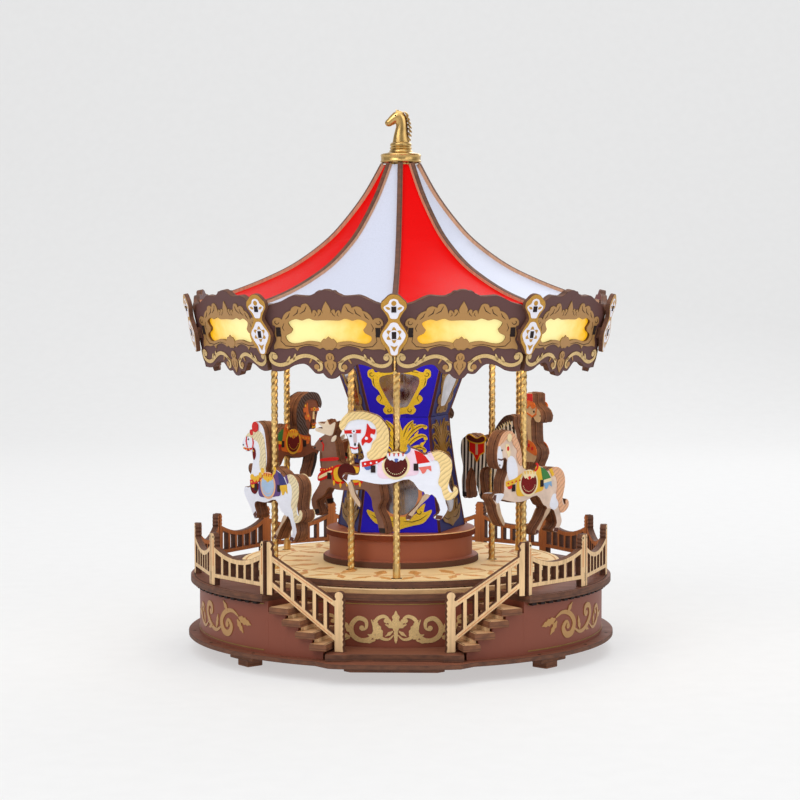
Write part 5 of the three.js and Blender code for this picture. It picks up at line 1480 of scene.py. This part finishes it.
def raised_head(coat):
    """A head held high under a pompom, with a falling mane and a beaded collar."""
    mane = [(13.4, 26), (10.6, 27.2), (6.8, 26.8), (3.9, 24.2), (2.6, 19), (2, 13.6), (2.6, 8.8), (4.4, 6.8),
            (6.4, 8.6), (7.2, 12.4), (6.6, 17), (7.8, 21), (10, 22.6), (12.6, 23.4)]
    painted = [
        (curved(mane), coat.hair, 0.45),
        (curved([(18.9, 23.9), (16.4, 25.8), (13.6, 26.4), (12.4, 24.8), (14.2, 23.8), (16.6, 24.4)]),
         coat.hair, 0.5),
        dot(10.6, 29, 2.5, coat.band, 0.8, 24),
        (curved([(13.4, 27.6), (12.4, 25.4), (14.4, 25), (15.2, 27)]), coat.band, 0.65),
        (curved([(15, 3.6), (12.4, 2), (9, 2.6), (8.4, 0.4), (11, -2.6), (14.2, -1.8), (15.4, 1)]), "wine",
         0.25),
        (disc(17, 22.8, 0.45, 0.38, 12), "hoof_black", 0.3), dot(21.4, 19.9, 0.35, "hoof_black", 0.3, 10),
        (stroke([(18.6, 24), (18.9, 21.6), (17.8, 18.9)], 0.6, 0.8, 0.6), coat.band, 0.25),
        (stroke([(21.2, 18.4), (17.2, 18), (13.8, 18.6)], 0.6, 1.1, 0.7), coat.band, 0.3),
        (stroke([(13.6, 24.8), (12.8, 21.4), (13.4, 18.8)], 0.6, 0.8, 0.6), coat.band, 0.25),
        (curved([(12.9, 19), (11.3, 18.4), (10.7, 15.6), (12.1, 13.4), (13.1, 15.6)]), "wine", 0.35),
        ([(11.6, -14), (9.9, -12.6), (11, -10.8), (13, -12.4)], coat.hoof, 0.2),
    ]
    for x, y in ((20.4, 18.5), (18.2, 18.1), (15.8, 18.2), (12.4, 17.6)):
        painted.append((disc(x, y, 0.4, sides=10), coat.dots, 0.42))
    for x, y in ((13.6, 5.2), (11.2, 4.4), (8.6, 5), (6.4, 6.6), (4.4, 8.8)):
        painted.append((disc(x, y, 1.35, sides=16), coat.dots, 0.55))
    return painted


HEADS = {"horse": bowed_head, "stallion": reaching_head, "prancer": raised_head}


def zebra_paint(coat):
    """The zebra's ticked mane, hanging cloth and saddle."""
    cloth = [(-1.4, 6.4), (-12.6, 6.4), (-12.8, 0.6), (-9.6, -1), (-7, -4.8), (-4.4, -1), (-1.2, 0.6)]
    painted = [
        (cloth, coat.ring, 0.15), (inset(cloth, 0.6), coat.cloth, 0.25),
        (slot_hole(-7, 2, 1.7, 5.6), "far_tan", 0.35),
        (curved([(-0.2, 7.4), (-2.6, 8.8), (-7, 7.3), (-12.2, 9), (-14.9, 7.8), (-13, 5.4), (-7, 4.4),
                 (-1.6, 5.2)]),
         coat.lace, 0.35),
        (curved([(-0.9, 7.3), (-2.7, 8.3), (-7, 6.9), (-12.1, 8.5), (-14.2, 7.6), (-12.8, 6), (-7, 5),
                 (-2, 5.8)]),
         coat.saddle, 0.55),
        (curved([(19.6, 18.4), (17.4, 19.6), (12.6, 18.3), (7.7, 13.8), (4.2, 8.6), (6, 8.4), (9.6, 12.2),
                 (13.6, 15.6), (18.6, 16.8)]), coat.hair, 0.4),
        dot(19.2, 13.6, 0.55, "hoof_black", 0.3), dot(21.6, 6.6, 0.4, "hoof_black", 0.3, 10)]
    for k in range(9):
        x = 5.4 + 1.5 * k
        y = 9 + 1.25 * k - 0.055 * k * k
        painted.append(([(x, y), (x + 0.55, y - 0.5), (x - 0.3, y + 1.3), (x - 0.8, y + 1.5)], "cream", 0.55))
    feet = [((-17.6, -21.8), (-14.8, -21.8), (-14.9, -19.6), (-17.8, -19.6)),
            ((-4.4, -21.6), (-2, -21.4), (-2.8, -19.4), (-5.1, -19.9)),
            ((4.8, -20.2), (7.6, -20.2), (7.5, -18), (4.7, -18))]
    return painted + [(list(foot), coat.hoof, 0.2) for foot in feet]


def small_paint(shape, coat):
    """The painted parts of the smaller riders, whose bodies share one plan."""
    back = {"pony": 7.2, "deer": 6, "llama": 7.2}[shape]
    painted = [
        (curved([(7, back - 1), (7, back - 1), (4, back - 0.2), (-4, back - 0.6), (-8, back), (-8, back),
                 (-9, -1.4),
                 (-4, -3.4), (0, -2), (4, -3.4), (8, -1.4)]), coat.cloth, 0.15),
        (curved([(6, back - 1.6), (-7, back - 1), (-7.8, -0.6), (-4, -2.2), (0, -0.8), (4, -2.2), (7, -0.8)]),
         coat.ring, 0.22),
        (disc(0, 2.2, 5, 4.4, 32), coat.saddle, 0.5),
        (stroke(curved([(15, 3), (11, 2.6), (7.4, 4.4)], 4, False), 1.6, 2.2, 1.4), coat.band, 0.3),
        # two dark slots of painted shade in the saddle cloth
        (slot_hole(9.8, 0.4, 2.0, 3.0), "slot_dark", 0.5), (slot_hole(-9.6, 1.4, 2.0, 3.0), "slot_dark", 0.5),
    ]
    for k in range(5):
        painted.append((leaf(7.2 - 3.6 * k, -1.6 - (0.9 if k % 2 else 0), 2.6, 1.1, -90), coat.dots, 0.3))
        painted.append((disc(14 - 1.5 * k, 3 + 0.1 * k * k, 0.35, sides=8), coat.dots, 0.42))
    if shape == "pony":
        painted += [
            (curved([(16.2, 25.8), (13.6, 23.4), (8.7, 20.2), (5.4, 14.2), (4, 9.4), (6.6, 9.4), (8, 12.6),
                     (9.8, 14.8), (10.6, 18), (13.6, 20.2), (16.4, 22.4)]), coat.hair, 0.4),
            (stroke([(20.6, 17.6), (17.6, 15.6), (15.4, 13.2)], 0.7, 0.8, 0.7), coat.band, 0.25),
            (stroke([(21.3, 13.2), (19.6, 12.2), (18.8, 10.8)], 0.7, 0.8, 0.7), coat.band, 0.25),
            dot(18.6, 17.8, 0.55, "hoof_black", 0.3), dot(20.8, 12.2, 0.4, "hoof_black", 0.3, 10)]
        feet = [((-19.5, -21.9), (-16.2, -21.9), (-16.3, -19.6), (-20, -19.8)),
                ((11.7, -18.4), (14.2, -17.6), (13.9, -15.6), (11, -16.4)),
                ((19.6, -12.3), (21.3, -10.4), (20.2, -9), (18.2, -11))]
    elif shape == "deer":
        painted += [
            (curved([(12.5, 19.8), (17.2, 21.1), (17, 22.4), (13.2, 22.4), (16.2, 24.9), (12.5, 24.5),
                     (11, 26.3),
                     (9.5, 24.1), (6.5, 25.5), (7.1, 22), (8.6, 19.2)]), coat.hair, 0.35),
            (curved([(8, 18.4), (5.9, 19.4), (6.6, 16.8), (8.6, 16.4)]), coat.hair, 0.3),
            (stroke([(15.2, 17.8), (13, 14.6), (13.4, 11.8)], 0.6, 0.7, 0.6), coat.band, 0.25),
            dot(14.2, 16.4, 0.5, "hoof_black", 0.35), dot(17.9, 13.2, 0.5, "hoof_black", 0.3, 10),
            (curved([(5.8, 9.2), (14.2, 8.2), (14.2, 7), (5.4, 7.8)]), coat.band, 0.22),
            (curved([(15.3, 1.4), (8.4, 4), (8.2, 1), (15.6, -2.4)]), coat.band, 0.35),
            (curved([(14.9, 0.2), (9, 2.8), (8.8, 1.8), (15.1, -1.2)]), "cream", 0.45)]
        feet = [((-20.9, -24.6), (-17.8, -24.6), (-17.4, -22.4), (-20.6, -22.4)),
                ((15.4, -17.6), (17.9, -18.1), (18.4, -16), (16, -15.4))]
    else:
        painted += [
            ([(13, 25.4), (18.4, 25.4), (18.2, 29), (13, 29)], coat.saddle, 0.35),
            (curved([(12.4, 25.6), (19, 25), (21, 22.8), (18.2, 21.8), (16, 23.4), (13.8, 21.6),
                     (12.3, 22.6)]),
             coat.band, 0.4),
            (stroke([(21.8, 22.4), (21.4, 19.2), (18, 17.8), (13.2, 19.4)], 0.6, 0.9, 0.7), coat.band, 0.3),
            dot(19.6, 20.4, 0.5, "hoof_black", 0.35), dot(25.4, 18.6, 0.35, "hoof_black", 0.3, 10),
            (curved([(9.6, 6.6), (17.8, 5.4), (21.8, 2.2), (21.6, -1), (14, 0.8), (9.2, 3)]), coat.band, 0.3),
            dot(12, 4.4, 1, coat.saddle, 0.42, 14), dot(15.2, 3.6, 1, coat.saddle, 0.42, 14),
            dot(18.4, 2.2, 1, coat.saddle, 0.42, 14)]
        feet = [((-16.1, -21.8), (-12.8, -21.8), (-13, -19.8), (-16.4, -19.8)),
                ((11.4, -21.8), (14.4, -21.8), (14.8, -19.8), (11.7, -19.8))]
    return painted + [(list(foot), coat.hoof, 0.2) for foot in feet]


def make_animal(number, rider):
    """A three-layer cut animal, painted on both faces."""
    name, angle, ring, mid, shape, turned_out, _ = rider
    coat = Coat(*COATS[name].split())
    x, y = polar(ring, angle)
    place = shift(x, y, mid) @ turn(180 + angle - turned_out) @ UPRIGHT
    outline = curved(OUTLINES[shape], 3)
    body = Piece(f"{name}_layers")
    sheet = ANIMAL_THICK / 3
    for layer, depth in enumerate((0.25, 0.0, 0.25)):
        # the middle sheet's face is painted shade; it shows as a dark line in the seams between the three
        # sheets
        face = coat.coat if depth else "slot_dark"
        body.sheet(inset(outline, depth), sheet - 0.06, face, "layered_edge", place,
                   rise=ANIMAL_THICK / 2 - sheet * layer, bevel=0.16)
    body.done(f"rider_{number}", name, "painted_ply")
    dressed = Piece(f"{name}_paint")
    if shape in HEADS:
        painted = body_paint(coat) + HEADS[shape](coat)
    else:
        painted = zebra_paint(coat) if shape == "zebra" else small_paint(shape, coat)
    flip = Matrix.Rotation(math.pi, 4, "Y") @ FLIPPED
    thick = bpy.context.scene.carousel_look.paint_thickness / MM
    for drawing, finish, height in painted:
        if finish != "none":
            for side in (Matrix(), flip):
                dressed.sheet(drawing, thick, finish, place=place @ side @ flat(ANIMAL_THICK / 2),
                              rise=height * 0.8)
    bmesh.ops.recalc_face_normals(dressed.bm, faces=dressed.bm.faces[:])
    dressed.done(f"rider_{number}", name, "painted_ply")


# ------------------------------------------------------------------ stage
def make_stage(sizes):
    """A pale seamless floor and backdrop, soft lamps and the camera."""
    bm = bmesh.new()
    line = [(-4, 0), (1.2, 0)] + [(1.2 + 0.8 * math.sin(a), 0.8 - 0.8 * math.cos(a))
                                  for a in [math.pi / 2 * i / 12 for i in range(1, 13)]] + [(2.0, 3.5)]
    verts = [bm.verts.new((-4, y, z)) for y, z in line]
    edges = [bm.edges.new(pair) for pair in zip(verts, verts[1:])]
    grown = bmesh.ops.extrude_edge_only(bm, edges=edges)["geom"]
    moved = [g for g in grown if isinstance(g, bmesh.types.BMVert)]
    bmesh.ops.translate(bm, vec=(8, 0, 0), verts=moved)
    bmesh.ops.recalc_face_normals(bm, faces=bm.faces[:])
    for made in bm.faces:
        made.smooth = True
    mesh = bpy.data.meshes.new("studio_floor")
    bm.to_mesh(mesh)
    bm.free()
    floor = bpy.data.objects.new("studio_floor", mesh)
    paper = Finish("studio_paper", 0.9, Specular_IOR_Level=0.1)
    fibre = paper.noise(90.0, 3.0)
    paper.wire("Base Color", paper.ramp(fibre, (0.3, srgb(158, 158, 158)), (0.7, srgb(161, 161, 161))))
    paper.shader.inputs["Emission Color"].default_value = (1.0, 1.0, 1.0, 1.0)
    paper.shader.inputs["Emission Strength"].default_value = 0.5
    mesh.materials.append(paper.material)
    bpy.context.scene.collection.objects.link(floor)
    world = bpy.data.worlds.new("studio")
    world.use_nodes = True
    world.node_tree.nodes["Background"].inputs["Color"].default_value = (0.97, 0.98, 1.0, 1.0)
    world.node_tree.nodes["Background"].inputs["Strength"].default_value = 0.42
    bpy.context.scene.world = world
    lamps = (("key", (-0.9, -1.2, 1.15), 1.1, 11.0), ("fill", (1.2, -1.0, 0.7), 1.2, 6.0),
             ("top", (0.1, 0.1, 1.5), 1.2, 4.0), ("back", (0.4, 1.1, 0.9), 0.9, 5.0),
             ("backdrop", (0, -0.6, 2.2), 2.6, 18.0))
    for name, place, size, power in lamps:
        lamp = bpy.data.lights.new(name, "AREA")
        lamp.shape, lamp.size, lamp.energy = "SQUARE", size, power * sizes.light
        made = bpy.data.objects.new(name, lamp)
        made.location = place
        aim = Vector((0, 0, 0.12)) if name != "backdrop" else Vector((0, 1.6, 0.3))
        made.rotation_euler = (aim - Vector(place)).to_track_quat("-Z", "Y").to_euler()
        bpy.context.scene.collection.objects.link(made)
    canopy_light = bpy.data.lights.new("canopy_light", "AREA")  # the lamps over the turning floor
    canopy_light.shape, canopy_light.size, canopy_light.energy = "DISK", 0.16, 0.12 * sizes.light
    canopy_light.color = (1.0, 0.86, 0.62)
    made = bpy.data.objects.new("canopy_light", canopy_light)
    made.location = (0, 0, 0.1437)
    made.visible_camera = False
    bpy.context.scene.collection.objects.link(made)
    lens = bpy.data.cameras.new("camera")
    lens.lens, lens.sensor_width, lens.clip_start, lens.clip_end = sizes.lens, 36, 0.01, 20
    camera = bpy.data.objects.new("camera", lens)
    bearing, height = sizes.bearing, sizes.elevation
    target = Vector((-0.0004, 0, 0.1188))
    away = Vector((math.sin(bearing) * math.cos(height), -math.cos(bearing) * math.cos(height),
                   math.sin(height)))
    camera.location = target + away * sizes.distance
    camera.rotation_euler = (-away).to_track_quat("-Z", "Y").to_euler()
    bpy.context.scene.collection.objects.link(camera)
    bpy.context.scene.camera = camera
    bpy.context.scene.view_settings.view_transform = "Standard"


# ------------------------------------------------------------------ add-on
class CarouselStage(bpy.types.PropertyGroup):
    """What a user would change about the view and light."""
    distance: bpy.props.FloatProperty(name="Distance", description="Camera to the middle of the object",
                                      default=0.959, min=0.4, unit="LENGTH")
    elevation: bpy.props.FloatProperty(name="Elevation", description="Camera above the horizon",
                                       default=math.radians(3.07), subtype="ANGLE")
    bearing: bpy.props.FloatProperty(name="Bearing", description="Camera about the upright axis",
                                     default=math.radians(1.67), subtype="ANGLE")
    lens: bpy.props.FloatProperty(name="Lens", description="Focal length in millimetres", default=89.4,
                                  min=20)
    light: bpy.props.FloatProperty(name="Light", description="Strength of all the lamps", default=1.0, min=0)


def colour_setting(name, *steps):
    return bpy.props.FloatVectorProperty(name=name, description=f"Colour of the {name.lower()}",
                                         subtype="COLOR", min=0, max=1, default=srgb(*steps))


class CarouselLook(bpy.types.PropertyGroup):
    """The colours and layer sizes that a user would change."""
    roof_dark: colour_setting("Dark roof panels", 222, 2, 2)
    roof_pale: colour_setting("Pale roof panels", 204, 208, 224)
    # the front face's blue is partly painted light and the side faces' navy is partly painted shade
    tower_front: colour_setting("Tower's front face", 44, 30, 214)
    tower_side: colour_setting("Tower's side faces", 44, 48, 118)
    leather: colour_setting("Drum's leather card", 100, 30, 15)
    foil_gold: colour_setting("Gold foil", 166, 130, 46)
    light_ply: colour_setting("Pale plywood", 231, 194, 146)
    dark_ply: colour_setting("Dark plywood", 126, 76, 56)
    board_ply: colour_setting("Rounding boards", 76, 42, 38)
    foil_thickness: bpy.props.FloatProperty(name="Foil thickness", description="Foil on the tower",
                                            default=0.0003, min=0.0001, max=0.001, unit="LENGTH")
    paint_thickness: bpy.props.FloatProperty(name="Paint thickness", description="Relief of the dress",
                                             default=0.00035, min=0.0001, max=0.001, unit="LENGTH")


class CarouselOperator:
    """What every making step has in common: it makes its pieces and is done."""
    bl_options = {"REGISTER", "UNDO"}

    def execute(self, context):
        self.make(context.scene)
        return {"FINISHED"}


class MESH_OT_carousel_base(CarouselOperator, bpy.types.Operator):
    """Make the base plate, feet and step trim"""
    bl_idname, bl_label = "mesh.carousel_base", "Base and feet"

    def make(self, scene):
        make_base()


class MESH_OT_carousel_drum(CarouselOperator, bpy.types.Operator):
    """Make the drum and its foil"""
    bl_idname, bl_label = "mesh.carousel_drum", "Drum"

    def make(self, scene):
        make_drum()


class MESH_OT_carousel_deck(CarouselOperator, bpy.types.Operator):
    """Make the deck, track ring and landing"""
    bl_idname, bl_label = "mesh.carousel_deck", "Deck"

    def make(self, scene):
        make_deck()


class MESH_OT_carousel_stairs(CarouselOperator, bpy.types.Operator):
    """Make both flights of stairs and their handrails"""
    bl_idname, bl_label = "mesh.carousel_stairs", "Stairs and handrails"

    def make(self, scene):
        for side, name in ((-1, "left"), (1, "right")):
            make_stairs(side, name)
            make_handrail(side, name)


class MESH_OT_carousel_fence(CarouselOperator, bpy.types.Operator):
    """Make the four runs of fence"""
    bl_idname, bl_label = "mesh.carousel_fence", "Fence"

    def make(self, scene):
        runs = (("right_front", 36), ("right_back", 108), ("left_back", 180), ("left_front", 252))
        for name, first in runs:
            make_fence(name, first)


class MESH_OT_carousel_movement(CarouselOperator, bpy.types.Operator):
    """Finish the movement and make the winding key"""
    bl_idname, bl_label = "mesh.carousel_movement", "Movement"

    def make(self, scene):
        make_movement()


class MESH_OT_carousel_floor(CarouselOperator, bpy.types.Operator):
    """Make the turning floor and the plinth"""
    bl_idname, bl_label = "mesh.carousel_floor", "Floor and plinth"

    def make(self, scene):
        make_floor()
        make_plinth()


class MESH_OT_carousel_tower(CarouselOperator, bpy.types.Operator):
    """Make the mirrored tower"""
    bl_idname, bl_label = "mesh.carousel_tower", "Tower"

    def make(self, scene):
        make_tower()


class MESH_OT_carousel_canopy(CarouselOperator, bpy.types.Operator):
    """Make the ceiling, roof and ribs"""
    bl_idname, bl_label = "mesh.carousel_canopy", "Ceiling and canopy"

    def make(self, scene):
        make_ceiling()
        make_roof()


class MESH_OT_carousel_boards(CarouselOperator, bpy.types.Operator):
    """Make the rounding boards, windows and badges"""
    bl_idname, bl_label = "mesh.carousel_boards", "Rounding boards"

    def make(self, scene):
        for i in range(SIDES // 2):
            make_boards(i)


class MESH_OT_carousel_crown(CarouselOperator, bpy.types.Operator):
    """Make the cap and the horse finial"""
    bl_idname, bl_label = "mesh.carousel_crown", "Crown"

    def make(self, scene):
        make_crown()


class MESH_OT_carousel_poles(CarouselOperator, bpy.types.Operator):
    """Make the nine twisted poles"""
    bl_idname, bl_label = "mesh.carousel_poles", "Poles"

    def make(self, scene):
        make_poles()


class MESH_OT_carousel_animals(CarouselOperator, bpy.types.Operator):
    """Make the nine painted animals"""
    bl_idname, bl_label = "mesh.carousel_animals", "Animals"

    def make(self, scene):
        for number, rider in enumerate(RIDERS, 1):
            make_animal(number, rider)


class SCENE_OT_carousel_stage(CarouselOperator, bpy.types.Operator):
    """Set up the floor, lamps and camera"""
    bl_idname, bl_label = "scene.carousel_stage", "Stage"

    def make(self, scene):
        make_stage(scene.carousel_stage)


STEPS = (MESH_OT_carousel_base, MESH_OT_carousel_drum, MESH_OT_carousel_deck, MESH_OT_carousel_stairs,
         MESH_OT_carousel_fence, MESH_OT_carousel_movement, MESH_OT_carousel_floor, MESH_OT_carousel_tower,
         MESH_OT_carousel_canopy, MESH_OT_carousel_boards, MESH_OT_carousel_crown, MESH_OT_carousel_poles,
         MESH_OT_carousel_animals, SCENE_OT_carousel_stage)


class VIEW3D_PT_carousel(bpy.types.Panel):
    """Lists the making steps and the stage's settings"""
    bl_label, bl_space_type, bl_region_type, bl_category = "Carousel Music Box", "VIEW_3D", "UI", "Carousel"

    def draw(self, context):
        for step in STEPS:
            self.layout.operator(step.bl_idname)
        for group, settings in ((CarouselLook, context.scene.carousel_look),
                                (CarouselStage, context.scene.carousel_stage)):
            for name in group.__annotations__:
                self.layout.prop(settings, name)


CLASSES = (CarouselLook, CarouselStage, *STEPS, VIEW3D_PT_carousel)


def register():
    for made in CLASSES:
        bpy.utils.register_class(made)
    bpy.types.Scene.carousel_look = bpy.props.PointerProperty(type=CarouselLook)
    bpy.types.Scene.carousel_stage = bpy.props.PointerProperty(type=CarouselStage)


def unregister():
    del bpy.types.Scene.carousel_stage, bpy.types.Scene.carousel_look
    for made in reversed(CLASSES):
        bpy.utils.unregister_class(made)


def main():
    """Registers the classes and runs every step in order."""
    register()
    for step in STEPS:
        group, name = step.bl_idname.split(".")
        getattr(getattr(bpy.ops, group), name)()


if __name__ == "__main__":
    main()
